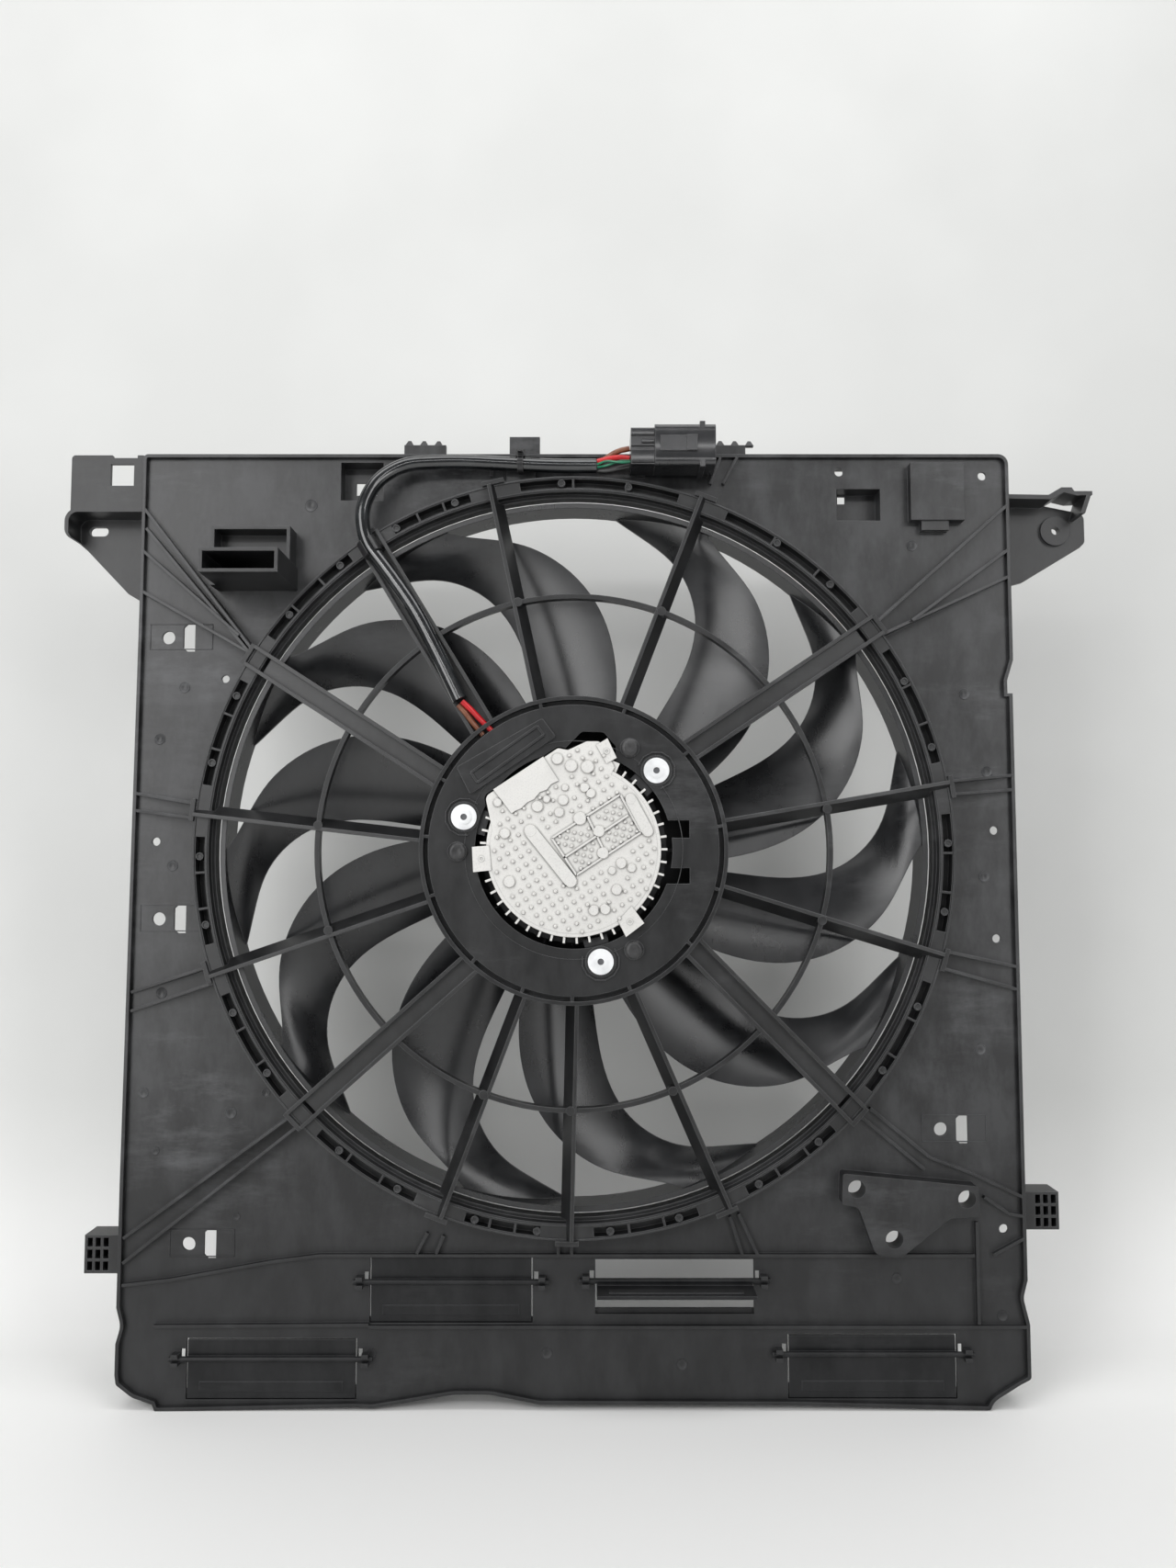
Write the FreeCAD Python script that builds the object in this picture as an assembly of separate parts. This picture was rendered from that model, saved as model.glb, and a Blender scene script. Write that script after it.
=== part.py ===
"""Radiator cooling-fan module: moulded shroud, ring fan, brushless motor, ram-air flaps and harness.

Drawn lying on its radiator side: X to the right, Y up the radiator and Z (called depth here) from the
seating plane towards the engine. Each finished piece is then stood up, so that the radiator plane is
the world XZ plane, the fan axis is the world Y axis and the engine side looks along -Y.
"""
import FreeCAD
import Part
import math
import os

V = FreeCAD.Vector

# Overall shroud, in millimetres
panel_face = 30.0
panel_skin = 2.5
edge_wall = 2.5
edge_lip = 4.0
panel_left = -336.5
panel_right = 335.5
panel_top = 307.5
panel_foot = -411.0
datum_x = 1.4

# Barrel round the fan
barrel_outer = 286.0
barrel_rib = 2.4
channel_width = 6.9
inner_rib = 2.8
throat_radius = 271.0
skirt_wall = 2.0
skirt_back = 28.0
barrel_height = 16.0
channel_depth = 10.0
channel_floor = 2.5
shelf_drop = 7.5
foot_half_angle = 4.0
foot_bar_length = 17.0
foot_bar_width = 3.5
foot_bar_rise = 2.0
post_web = 1.6
post_pair_share = 0.333

# Fan
tip_gap = 3.0
ring_wall = 4.0
ring_lip = 1.8
fan_back = 8.0
fan_depth = 28.0
hub_radius = 100.0
hub_wall = 3.0
hub_floor = 3.0
hub_ribs = 10
hub_bore = 14.0
fan_screw_circle = 40.0
fan_screw_radius = 2.5
blade_thickness = 2.6
blade_edge_clear = 1.5

# Motor carrier
carrier_radius = 113.5
carrier_rim = 3.0
carrier_groove = 3.5
carrier_front = 66.0
carrier_plate_drop = 1.0
carrier_plate = 3.0
carrier_floor = 56.0
carrier_back = 46.0
motor_opening = 72.5
window_reach = 85.0

# Struts
strut_wall = 2.8
strut_lean = 7.0
strut_front_rise = 4.0
strut_foot_back = 38.0
double_width = 17.5
double_web = 2.4
cable_strut_width = 20.0
cable_web_drop = 10.0
double_web_drop = 6.0
mid_ring_radius = 190.0
mid_ring_width = 3.5
mid_ring_depth = 8.0
mid_ring_drop = 1.0

# Motor
cover_radius = 65.0
cover_front = 71.0
cover_clear = 1.5
cover_skin = 4.0
cover_wall = 3.0
cover_fin_length = 4.0
cover_fin_width = 1.4
cover_fin_pitch = 8.0
screw_circle = 84.0
screw_first = 43.6
screw_radius = 3.0
screw_head_radius = 9.4
screw_head_height = 2.2
screw_crown_radius = 5.6
screw_crown_rise = 0.8
screw_drive_radius = 2.4
screw_drive_depth = 2.0
screw_well_radius = 9.9
screw_well_wall = 1.3
screw_well_rise = 1.2
groove_web = 2.2
cover_gap = 2.0
bush_wall = 2.0
stake_circle = 85.4
stake_first = 61.1
stake_radius = 7.0
stake_height = 2.5
lug_first = 66.5
lug_reach = 71.0
lug_width = 12.0
base_radius = 69.0
base_floor = 44.0
base_skin = 4.0
base_lug_thickness = 5.0
gasket_thickness = 1.0
bearing_tube_wall = 5.0
bearing_outer = 11.0
bearing_width = 7.0
bearing_gap = 0.3
shaft_radius = 4.0
circlip_wall = 2.2
circlip_thickness = 1.0
can_radius = 66.0
can_wall = 2.4
can_floor = 3.0
can_depth = 31.0
magnet_thickness = 3.6
magnet_poles = 14
magnet_gap_angle = 3.0
magnet_length = 18.0
air_gap = 0.8
stator_teeth = 12
tooth_width = 7.0
tooth_tip = 3.2
core_back = 8.0
slot_open_angle = 5.0
coil_build = 4.5
coil_overhang = 3.5
coil_clear = 0.3
board_radius = 55.5
board_thickness = 1.6
board_stand = 3.0
board_pillar_circle = 46.0
board_pillar_radius = 4.0
capacitor_radius = 5.0
capacitor_length = 16.0
transistor_width = 10.0
transistor_height = 3.5
transistor_first = 190.0
transistor_step = 32.0
fit_gap = 0.3
shaft_gap = 0.05
turning_gap = 2.0

# Ram-air flaps
flap_thickness = 2.5
flap_side_gap = 1.0
pivot_radius = 2.0
pivot_stand = 3.0
pivot_gap = 0.06
pivot_overhang = 12.0
hook_wall = 2.4
hook_width = 5.0
hook_mouth = 3.0
stop_lip = 2.7
stop_reach = 3.0

# Upper ears and lower pegs
ear_back = 3.0
ear_plate = 4.0
ear_wall = 3.0
ear_hole_x = 380.4
ear_hole_y = 253.7
ear_hole_radius = 3.2
ear_slot_length = 15.0
ear_boss_radius = 11.8
ear_boss_rise = 3.0

# Harness
sleeve_radius = 5.5
lead_radius = 2.1
thin_lead_radius = 0.9
connector_length = 64.0
connector_height = 32.0
connector_depth = 30.0
connector_corner = 4.0

# Openings and details of the panel, about its centre line
rib_width = 2.2
rib_run_in = 8.0
flaps = (
    {"name": "upper_left", "x": (-153.0, -32.0), "y": (-350.0, -302.0), "pivot": -319.5, "open": 0},
    {"name": "upper_right", "x": (14.5, 132.3), "y": (-343.6, -304.0), "pivot": -318.7, "open": 90},
    {"name": "lower_left", "x": (-288.0, -162.0), "y": (-405.0, -361.0), "pivot": -375.0, "open": 0},
    {"name": "lower_right", "x": (157.0, 282.0), "y": (-404.5, -358.0), "pivot": -371.5, "open": 0},
)

clip_seats = (
    (-314.7, 163.8),
    (-316.7, -52.2),
    (-288.4, -293.0),
    (273.6, -209.0),
)
clip_hole_radius = 5.0
clip_slot_offset = 16.0
clip_slot_width = 9.0
clip_slot_height = 21.6
small_holes = (
    (204.7, 294.5, 3.3),
    (316.3, 291.3, 3.3),
    (-320.3, 6.5, 3.2),
    (-270.0, 131.7, 3.0),
    (319.0, 15.0, 3.2),
    (319.0, -67.0, 3.2),
    (319.0, -282.0, 3.4),
)
pad_rise = 13.0
pad_holes = ((208.6, -249.7), (289.6, -257.0), (235.7, -286.0))
pad_hole_radius = 6.4
top_tabs = ((-132.5, -100, 7.5), (-50.5, -27, 14), (110, 133, 7.5))

# Root angles of the ten blades, and how far their two edges are swept at each radius
blade_roots = ((-2.0, 25.0), (30.0, 58.0), (75.0, 104.0), (109.0, 137.0), (143.0, 171.0), (177.0, 204.5),
               (215.0, 243.5), (251.0, 277.0), (289.0, 317.0), (324.0, 352.0))
blade_sweep = ((97.0, -2.5, 0.0), (127.0, 0.2, 0.0), (154.0, 3.6, 0.3), (182.0, 8.2, 1.7), (210.0, 14.6, 5.2),
               (237.0, 23.8, 12.0), (268.0, 38.0, 26.5))

# Angles of the struts at the carrier and at the barrel
strut_angles = (
    (9.0, 9.5, "single"),
    (40.5, 36.5, "double"),
    (70.0, 69.5, "single"),
    (103.0, 102.5, "single"),
    (127.0, 123.5, "cable"),
    (152.0, 149.0, "double"),
    (175.0, 174.0, "single"),
    (198.0, 198.5, "single"),
    (228.0, 224.0, "double"),
    (250.0, 249.5, "single"),
    (269.5, 269.0, "single"),
    (292.0, 293.0, "single"),
    (321.0, 317.0, "double"),
    (344.5, 343.5, "single"),
)

# Routes of the harness
sleeve_route = (
    (-84.0, 110.0, 67.9), (-99.0, 141.0, 65.5), (-117.5, 177.0, 62.5), (-138.9, 207.7, 60.2),
    (-157.5, 231.6, 57.9), (-161.3, 257.7, 54.7), (-151.3, 281.0, 50.5), (-130.8, 295.5, 46.2),
    (-92.3, 298.5, 43.1), (-46.0, 296.5, 42.0), (-14.0, 295.0, 42.5), (17.0, 294.5, 44.0),
)
lead_routes = {
    "lead_red": (
        ((17.7, 297.3, 45.8), (25.5, 299.0, 47.0), (34.0, 300.0, 48.0), (42.4, 299.0, 48.5)),
        ((-82.4, 108.9, 68.6), (-75.2, 102.4, 67.2), (-68.3, 95.0, 63.0), (-60.5, 87.5, 60.6)),
    ),
    "lead_brown": (
        ((18.3, 296.3, 41.2), (25.0, 301.5, 43.0), (33.5, 306.0, 45.0), (42.4, 307.5, 46.0)),
        ((-85.2, 106.6, 66.2), (-79.2, 99.8, 65.6), (-74.0, 92.5, 62.0), (-67.5, 84.8, 60.6)),
    ),
    "lead_black": (
        ((17.8, 291.4, 42.6), (25.5, 290.5, 44.6), (34.0, 291.5, 47.0), (42.4, 293.0, 48.0)),
    ),
    "leads_green": (
        ((17.8, 292.6, 46.6), (25.0, 292.5, 51.0), (34.0, 295.5, 52.5), (42.4, 296.0, 51.5)),
        ((17.8, 294.4, 48.3), (25.0, 295.8, 53.0), (34.0, 293.2, 55.5), (42.4, 293.6, 55.5)),
    ),
}
tie_x = -41.5
tie_y = 296.2
tie_depth = 42.1
tie_width = 4.5
tie_slack = 0.6
tie_thickness = 1.0
clip_length = 12.0
clip_wall = 2.0
clip_share = 0.8
clip_lean = 0.25
clip_gap = 0.1
connector_x = 42.8
connector_y = 289.0

# Places worked out from the sizes above
panel_back = panel_face - panel_skin
lip_front = panel_face + edge_lip
barrel_front = panel_face + barrel_height
channel_out = barrel_outer - barrel_rib
channel_in = channel_out - channel_width
rib_in = channel_in - inner_rib
channel_base = barrel_front - channel_depth
ring_outer = throat_radius - tip_gap
ring_inner = ring_outer - ring_wall
fan_front = fan_back + fan_depth
plate_front = carrier_front - carrier_plate_drop
plate_back = plate_front - carrier_plate
can_back = fan_back + hub_floor
can_front = can_back + can_depth
magnet_outer = can_radius - can_wall - 0.1
magnet_inner = magnet_outer - magnet_thickness
core_outer = magnet_inner - air_gap
tube_outer = bearing_outer + bearing_tube_wall
magnet_back = can_back + can_floor + coil_overhang + turning_gap
magnet_front = magnet_back + magnet_length
base_front = base_floor + base_skin
cover_back = base_front + gasket_thickness
board_back = cover_back + board_stand
board_front = board_back + board_thickness
pivot_depth = panel_face + pivot_stand
bearing_low = magnet_back + 1
bearing_high = base_front - bearing_width - 1.5
tie_seat = tie_depth - sleeve_radius - tie_slack - tie_thickness - 0.1


def polar(radius, angle, depth=0.0):
    """A point at a radius and an angle in degrees."""
    turn = math.radians(angle)
    return V(radius * math.cos(turn), radius * math.sin(turn), depth)


def outline(points):
    """Closed flat wire through the points; a third value rounds that corner by an arc."""
    corners = []
    for i, point in enumerate(points):
        here = V(point[0], point[1], 0)
        if len(point) < 3 or point[2] == 0:
            corners.append((here, here, None))
            continue
        last = points[i - 1]
        following = points[(i + 1) % len(points)]
        before = V(last[0], last[1], 0).sub(here).normalize()
        after = V(following[0], following[1], 0).sub(here).normalize()
        half = before.getAngle(after) / 2
        inward = before.add(after).normalize()
        reach = point[2] / math.tan(half)
        centre = here.add(inward * (point[2] / math.sin(half)))
        corners.append((here.add(before * reach), here.add(after * reach), centre.sub(inward * point[2])))
    edges = []
    for i, (start, finish, middle) in enumerate(corners):
        if middle is not None:
            edges.append(Part.Arc(start, middle, finish).toShape())
        leave_to = corners[(i + 1) % len(corners)][0]
        if leave_to.sub(finish).Length > 1e-6:
            edges.append(Part.LineSegment(finish, leave_to).toShape())
    return Part.Wire(edges)


def prism(points, low, high):
    """Straight block of an outline between two depths."""
    solid = Part.Face(outline(points)).extrude(V(0, 0, high - low))
    solid.translate(V(0, 0, low))
    return solid


def block(x_low, x_high, y_low, y_high, low, high):
    """Upright rectangular block."""
    return Part.makeBox(x_high - x_low, y_high - y_low, high - low, V(x_low, y_low, low))


def rod(x, y, radius, low, high):
    """Round bar along the depth."""
    return Part.makeCylinder(radius, high - low, V(x, y, low), V(0, 0, 1))


def tube(inner, outer, low, high):
    """Round tube about the fan axis."""
    return rod(0, 0, outer, low, high).cut(rod(0, 0, inner, low, high))


def turned(profile):
    """Full turn of a profile of (radius, depth) points about the fan axis."""
    wire = Part.makePolygon([V(r, 0, z) for r, z in profile + [profile[0]]])
    return Part.Face(wire).revolve(V(0, 0, 0), V(0, 0, 1), 360)


def sector(inner, outer, start, stop, low, high):
    """Part of a flat ring between two angles in degrees."""
    wire = Part.makePolygon([V(inner, 0, low), V(outer, 0, low), V(outer, 0, high), V(inner, 0, high), V(inner, 0, low)])
    solid = Part.Face(wire).revolve(V(0, 0, 0), V(0, 0, 1), stop - start)
    solid.rotate(V(0, 0, 0), V(0, 0, 1), start)
    return solid


def fin(start, finish, thickness, low, start_height, finish_height):
    """Upright rib between two places, standing from low, with its own height at each end."""
    along = V(finish[0] - start[0], finish[1] - start[1], 0)
    length = along.Length
    across = V(-along.y, along.x, 0).normalize() * thickness
    foot = V(start[0], start[1], low).sub(across * 0.5)
    forward = along.normalize() * length
    corners = [foot, foot.add(forward), foot.add(forward).add(V(0, 0, finish_height - low)),
               foot.add(V(0, 0, start_height - low)), foot]
    return Part.Face(Part.makePolygon(corners)).extrude(across)


def joined(pieces):
    """One solid from overlapping or touching pieces."""
    whole = pieces[0].multiFuse(pieces[1:]) if len(pieces) > 1 else pieces[0]
    return whole.removeSplitter()


def shifted(points):
    """Panel outline points moved from the panel's centre line to the fan axis."""
    return [(p[0] + datum_x,) + tuple(p[1:]) for p in points]


def panel_points():
    """Edge of the panel, clockwise from the top left corner, about the panel's centre line."""
    left = panel_left
    right = panel_right
    top = panel_top
    foot = panel_foot
    return shifted([
        (left, top, 4),
        (right, top, 8),
        (right, 146),
        (right - 5, 130),
        (right - 5, 120),
        (right - 1, 120),
        (right - 1, -318),
        (right - 4.5, -331, 12),
        (right, -350),
        (right, -389, 3),
        (right - 8, -393, 3),
        (right - 28, -405, 14),
        (right - 30.5, foot, 2),
        (160, foot + 3.5),
        (-26, foot + 4),
        (-63, foot + 11, 30),
        (-90, foot + 11, 30),
        (-149, foot + 1.5),
        (-164, foot + 2),
        (left + 27, foot - 1, 2),
        (left + 25, foot + 4),
        (left + 10, foot + 9, 14),
        (left - 2, foot + 18, 3),
        (left - 3, foot + 25),
        (left - 3, -364, 6),
        (left + 0.5, -351, 14),
        (left - 3, -338, 6),
        (left - 3, -250),
        (left, 180),
    ])


def clip_seat(x, y):
    """Cutter for one push-in clip: a round hole and a slot with two chamfered corners."""
    low = panel_back - 1
    high = panel_face + 1
    hole = rod(x, y, clip_hole_radius, low, high)
    left = x + clip_slot_offset - clip_slot_width / 2
    right = left + clip_slot_width
    half = clip_slot_height / 2
    slot = prism([(left, y - half + 3), (left + 3, y - half), (right, y - half), (right, y + half),
                  (left + 3, y + half), (left, y + half - 3)], low, high)
    return [hole, slot]


def panel_ribs():
    """Ribs on the front of the panel, from the barrel's feet out to the edge and along the lower part."""
    base = panel_face - 0.5
    top = barrel_front
    end = lip_front
    radial = (
        ((-249, 156), (-336, 266)), ((-250, 152), (-333, 249)), ((-262, 168), (-336, 232)), ((-247, 149), (-336, 200)),
        ((232, 176), (334, 267)), ((262, 179), (334, 232)), ((238, 166), (334, 211)),
        ((-288, 35), (-335, 43)), ((-288, 24), (-335, 30)),
        ((-277, -88), (-335, -107)), ((-273, -100), (-335, -121)),
        ((285, 52), (333, 57)), ((285, 42), (333, 46)),
        ((277, -76), (333, -88)), ((273, -88), (333, -105)),
        ((-214, -199), (-336, -288)), ((-207, -205), (-336, -306)),
    )
    ribs = []
    for start, finish in radial:
        share = rib_run_in / math.hypot(finish[0] - start[0], finish[1] - start[1])
        near = (start[0] + datum_x - (finish[0] - start[0]) * share, start[1] - (finish[1] - start[1]) * share)
        ribs.append(fin(near, (finish[0] + datum_x, finish[1]), rib_width, base, top, end))
    low_ribs = (
        ((-336, -322), (-300, -318)), ((-300, -318), (-226, -305)), ((-226, -305), (-190, -300.5)),
        ((-190, -300.5), (296, -300.5)), ((-312, -351.5), (-153, -350.5)), ((-153, -352), (333, -352)),
        ((298, -276), (298, -350)), ((220, -193), (264, -229)), ((264, -229), (296, -241)),
        ((296, -241), (333, -258)), ((212, -198), (260, -238)), ((304, -258), (322, -270)),
        ((322, -270), (333, -272)), ((333, -288), (310, -300)), ((104, 284), (112, 305)), ((114, 284), (125, 305)),
        ((-66, 290), (-66, 305)), ((-110, -284), (-118, -299)), ((-98, -286), (-103.6, -299)),
        ((-13, -288), (-13, -300)), ((-3, -288), (-3, -300)), ((114.5, -272), (123.6, -300)),
        ((121, -270), (135, -300)),
    )
    for start, finish in low_ribs:
        ribs.append(fin((start[0] + datum_x, start[1]), (finish[0] + datum_x, finish[1]), rib_width, base, end, end))
    return ribs


def flap_frame(flap):
    """Cutters and hooks that one flap needs in the panel."""
    x_low = flap["x"][0] + datum_x
    x_high = flap["x"][1] + datum_x
    y_low, y_high = flap["y"]
    window = block(x_low, x_high, y_low, y_high, panel_back - 1, panel_face + 1)
    stop = block(x_low - 0.5, x_high + 0.5, y_low - 1, y_low + stop_reach, panel_back - fit_gap - stop_lip,
                 panel_back - fit_gap)
    stop_foot = block(x_low - 0.5, x_high + 0.5, y_low - 3, y_low - 0.01, panel_back - fit_gap - stop_lip,
                      panel_back + 0.5)
    cutters = [window]
    added = [stop, stop_foot]
    bore = pivot_radius + pivot_gap
    reach = bore + hook_wall
    for edge, side in ((x_low, -1), (x_high, 1)):
        near = edge + side * (pivot_overhang - hook_width - 2.5)
        far = near + side * hook_width
        low_x, high_x = min(near, far), max(near, far)
        hook = block(low_x, high_x, flap["pivot"] - reach, flap["pivot"] + reach, panel_face - 0.5,
                     pivot_depth + reach)
        pin_hole = Part.makeCylinder(bore, hook_width + 2, V(low_x - 1, flap["pivot"], pivot_depth), V(1, 0, 0))
        mouth = block(low_x - 1, high_x + 1, flap["pivot"] - hook_mouth / 2, flap["pivot"] + hook_mouth / 2,
                      pivot_depth, pivot_depth + reach + 1)
        added.append(hook.cut(pin_hole).cut(mouth))
        eye_near = edge + side * 1.0
        eye_far = near - side * 0.3
        cutters.append(block(min(eye_near, eye_far), max(eye_near, eye_far), flap["pivot"] - 3.5,
                             flap["pivot"] + 6.5, panel_back - 1, panel_face + 1))
    return cutters, added


def deep_holder():
    """Box-shaped holder at the upper left, standing well out of the panel."""
    base = block(-276, -216, 200.5, 246, panel_face, panel_face + 20)
    drawer = block(-272, -214.5, 200.5, 218.5, panel_face, panel_face + 60)
    pocket = block(-269.5, -217, 203, 216, panel_face + 4, panel_face + 61)
    hollow = block(-273.5, -218.5, 221, 243.5, panel_face + 2.5, panel_face + 21)
    return base.fuse(drawer).cut(pocket).cut(hollow)


def flat_holder():
    """Raised flat holder at the upper right with a pocket under it."""
    plate = block(259.5, 301, 254, 299, panel_face - 0.5, panel_face + 9)
    lower = block(268, 289, 246.5, 256, panel_face - 0.5, panel_face + 7)
    pocket = block(270, 291, 244, 290, panel_face + 2.5, panel_face + 5)
    return plate.fuse(lower).cut(pocket)


def clip_pocket(x_low, x_high, y_low, y_high, hole):
    """Deep pocket behind the panel that takes a wiring clip: cutter and moulded walls."""
    back = panel_back - 16
    cutter = block(x_low, x_high, y_low, y_high, back + 2, panel_face + 1)
    box = block(x_low - 2, x_high + 2, y_low - 2, y_high + 2, back, panel_back + 0.5)
    through = block(hole[0], hole[1], hole[2], hole[3], back - 1, back + 3)
    return cutter, box, through


def bracket_pad():
    """Triangular raised pad at the lower right with three large holes."""
    points = [(198.6, -238.4, 2), (297.9, -247.7, 2), (299.4, -269.5, 2), (277.1, -270.8, 6), (240.0, -299.5, 12),
              (222.0, -297.5, 8), (209.7, -262.9, 6), (197.6, -260.9, 2)]
    top = panel_face + pad_rise
    pad = prism(points, panel_face - 0.5, top)
    under = Part.Face(outline(points).makeOffset2D(-panel_skin, 2)).extrude(V(0, 0, pad_rise - panel_skin + 3))
    under.translate(V(0, 0, panel_face - 3))
    bosses = [rod(x, y, pad_hole_radius + panel_skin, panel_back, top - 1) for x, y in pad_holes]
    return pad, under, bosses


def shroud_panel():
    """Main moulding: thin skin inside the rim, with windows, seats, holders and ribs."""
    inner = outline(panel_points()).makeOffset2D(-edge_wall, 2)
    shell = Part.Face(inner).extrude(V(0, 0, panel_skin))
    shell.translate(V(0, 0, panel_back))
    inside = Part.Face(inner).extrude(V(0, 0, 100))
    pad, pad_under, pad_bosses = bracket_pad()
    tie_bridge = block(-52.5, -30.5, 284, 302, panel_face - 0.5, tie_seat)
    seats = [block(connector_x + low, connector_x + low + 6, 290, 306, panel_face - 0.5, lip_front) for low in (6, 54)]
    added = panel_ribs() + [flat_holder(), pad, tie_bridge] + seats
    cutters = [rod(0, 0, barrel_outer, -1, lip_front + 20)]
    throughs = []
    for x_low, x_high, y_low, y_high, hole in (
            (-182, -149, 272, 302, (-173, -157, 281, 291)), (204, 238, 256, 281, (208, 214, 274, 280))):
        pocket, box, through = clip_pocket(x_low, x_high, y_low, y_high, hole)
        added.append(box)
        throughs += [pocket, through]
    for flap in flaps:
        windows, hooks = flap_frame(flap)
        cutters += windows
        added += hooks
    for x, y in clip_seats:
        cutters += clip_seat(x + datum_x, y)
    for x, y, radius in small_holes:
        cutters.append(rod(x + datum_x, y, radius, panel_back - 1, panel_face + 1))
    for x, y in pad_holes:
        throughs.append(rod(x, y, pad_hole_radius, panel_back - 1, panel_face + 14))
    added = [piece.common(inside) for piece in added]
    shell = shell.cut(cutters).fuse(added).cut([cutters[0], pad_under] + foot_bars())
    shell = shell.fuse(pad_bosses).cut(throughs)
    return shell.removeSplitter()


def shroud_rim():
    """Deep wall round the edge of the panel, from the seating plane to the lip."""
    rim = outline(panel_points())
    wall = Part.Face(rim).extrude(V(0, 0, lip_front))
    inside = Part.Face(rim.makeOffset2D(-edge_wall, 2)).extrude(V(0, 0, lip_front + 2))
    inside.translate(V(0, 0, -1))
    tabs = []
    for x_low, x_high, height in top_tabs:
        tabs.append(block(x_low, x_high, panel_top - 1, panel_top + height, panel_face - 2, panel_face + 3))
    return wall.cut(inside).fuse(tabs).removeSplitter()


def barrel():
    """Double rib round the fan with a channel of pockets, an inner shelf and a short skirt."""
    shelf = barrel_front - shelf_drop
    profile = [(barrel_outer, panel_back), (barrel_outer, barrel_front), (rib_in, barrel_front), (rib_in, shelf),
               (throat_radius, shelf), (throat_radius, skirt_back), (throat_radius + skirt_wall, skirt_back),
               (throat_radius + skirt_wall, channel_base - channel_floor),
               (channel_out, channel_base - channel_floor), (channel_out, panel_back)]
    ring = turned(profile)
    half_web = math.degrees(post_web / 2 / channel_in)
    pockets = []
    for i, strut in enumerate(strut_angles):
        start = strut[1] + foot_half_angle
        following = strut_angles[(i + 1) % len(strut_angles)][1]
        stop = following - foot_half_angle
        if stop < start:
            stop += 360
        span = stop - start
        cuts = [start, start + span * post_pair_share, stop - span * post_pair_share, stop]
        for k in range(3):
            low_angle = cuts[k] + (half_web if k > 0 else 0)
            high_angle = cuts[k + 1] - (half_web if k < 2 else 0)
            pockets.append(sector(channel_in, channel_out, low_angle, high_angle, channel_base, barrel_front + 1))
    ring = ring.cut(pockets)
    return ring.fuse(foot_bars()).removeSplitter()


def foot_bars():
    """Short bars outside the barrel, one behind the foot of each strut."""
    half = foot_bar_length / 2
    bars = []
    for _, angle, _ in strut_angles:
        low = block(barrel_outer - 1.5, barrel_outer + foot_bar_width, -half, half, panel_face, barrel_front)
        high = block(barrel_outer, barrel_outer + foot_bar_width, -half, half, barrel_front - 1,
                     barrel_front + foot_bar_rise)
        bar = low.fuse(high)
        bar.rotate(V(0, 0, 0), V(0, 0, 1), angle)
        bars.append(bar)
    return bars


def section(points, radius, angle):
    """Closed strut section standing across the radius; points are (sideways, depth)."""
    centre = polar(radius, angle)
    side = polar(1.0, angle + 90)
    corners = [centre.add(side * p[0]).add(V(0, 0, p[1])) for p in points]
    return Part.makePolygon(corners + [corners[0]])


def strut_points(kind, back, front):
    """Section of a strut: a leaning plate, or a channel of two ribs on a web."""
    if kind == "single":
        half = strut_wall / 2
        lean = strut_lean / 2
        return [(lean - half, front), (lean + half, front), (-lean + half, back), (-lean - half, back)]
    half = (cable_strut_width if kind == "cable" else double_width) / 2
    inside = half - strut_wall
    web_front = front - (cable_web_drop if kind == "cable" else double_web_drop)
    web_back = web_front - double_web
    return [(-half, back), (-half, front), (-inside, front), (-inside, web_front), (inside, web_front),
            (inside, front), (half, front), (half, back), (inside, back), (inside, web_back), (-inside, web_back),
            (-inside, back)]


def struts(solid_channels=False):
    """Fourteen struts from the barrel's feet up to the motor carrier."""
    keep_out = rod(0, 0, barrel_outer + 20, 0, barrel_front).cut(rod(0, 0, throat_radius, -1, barrel_front + 1))
    core = rod(0, 0, carrier_radius, 0, 100)
    trim = rod(0, 0, barrel_outer - 0.01, 0, 100)
    solids = []
    for hub_angle, foot_angle, kind in strut_angles:
        front = barrel_front + strut_front_rise
        near = strut_points(kind, carrier_back, carrier_front)
        far = strut_points(kind, strut_foot_back, front)
        if solid_channels and kind != "single":
            near = [near[0], near[1], near[6], near[7]]
            far = [far[0], far[1], far[6], far[7]]
        inner = section(near, carrier_radius - 4, hub_angle)
        outer = section(far, barrel_outer + 4, foot_angle)
        body = Part.makeLoft([inner, outer], True, True)
        solids.append(body.cut(keep_out).cut(core).common(trim))
    return solids


def mid_ring():
    """Stiffening ring, in arcs from strut to strut."""
    share = (mid_ring_radius - carrier_radius) / (barrel_outer - carrier_radius)
    front = carrier_front + (barrel_front + strut_front_rise - carrier_front) * share - mid_ring_drop
    ring = tube(mid_ring_radius - mid_ring_width / 2, mid_ring_radius + mid_ring_width / 2,
                front - mid_ring_depth, front)
    return ring.cut(struts(solid_channels=True))


def cover_points(grow):
    """Straight-edged upper part of the motor cover; grow opens it for the carrier."""
    shape = [(-58, 8, 0), (-64.5, 38.5, 5), (-11.5, 74.0, 3), (-4.3, 72.5, 3), (9.6, 79.0, 4), (19.5, 79.0, 4),
             (30, 60, 0), (10, 20, 0)]
    return [(x + grow * x / math.hypot(x, y), y + grow * y / math.hypot(x, y), r) for x, y, r in shape]


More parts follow.
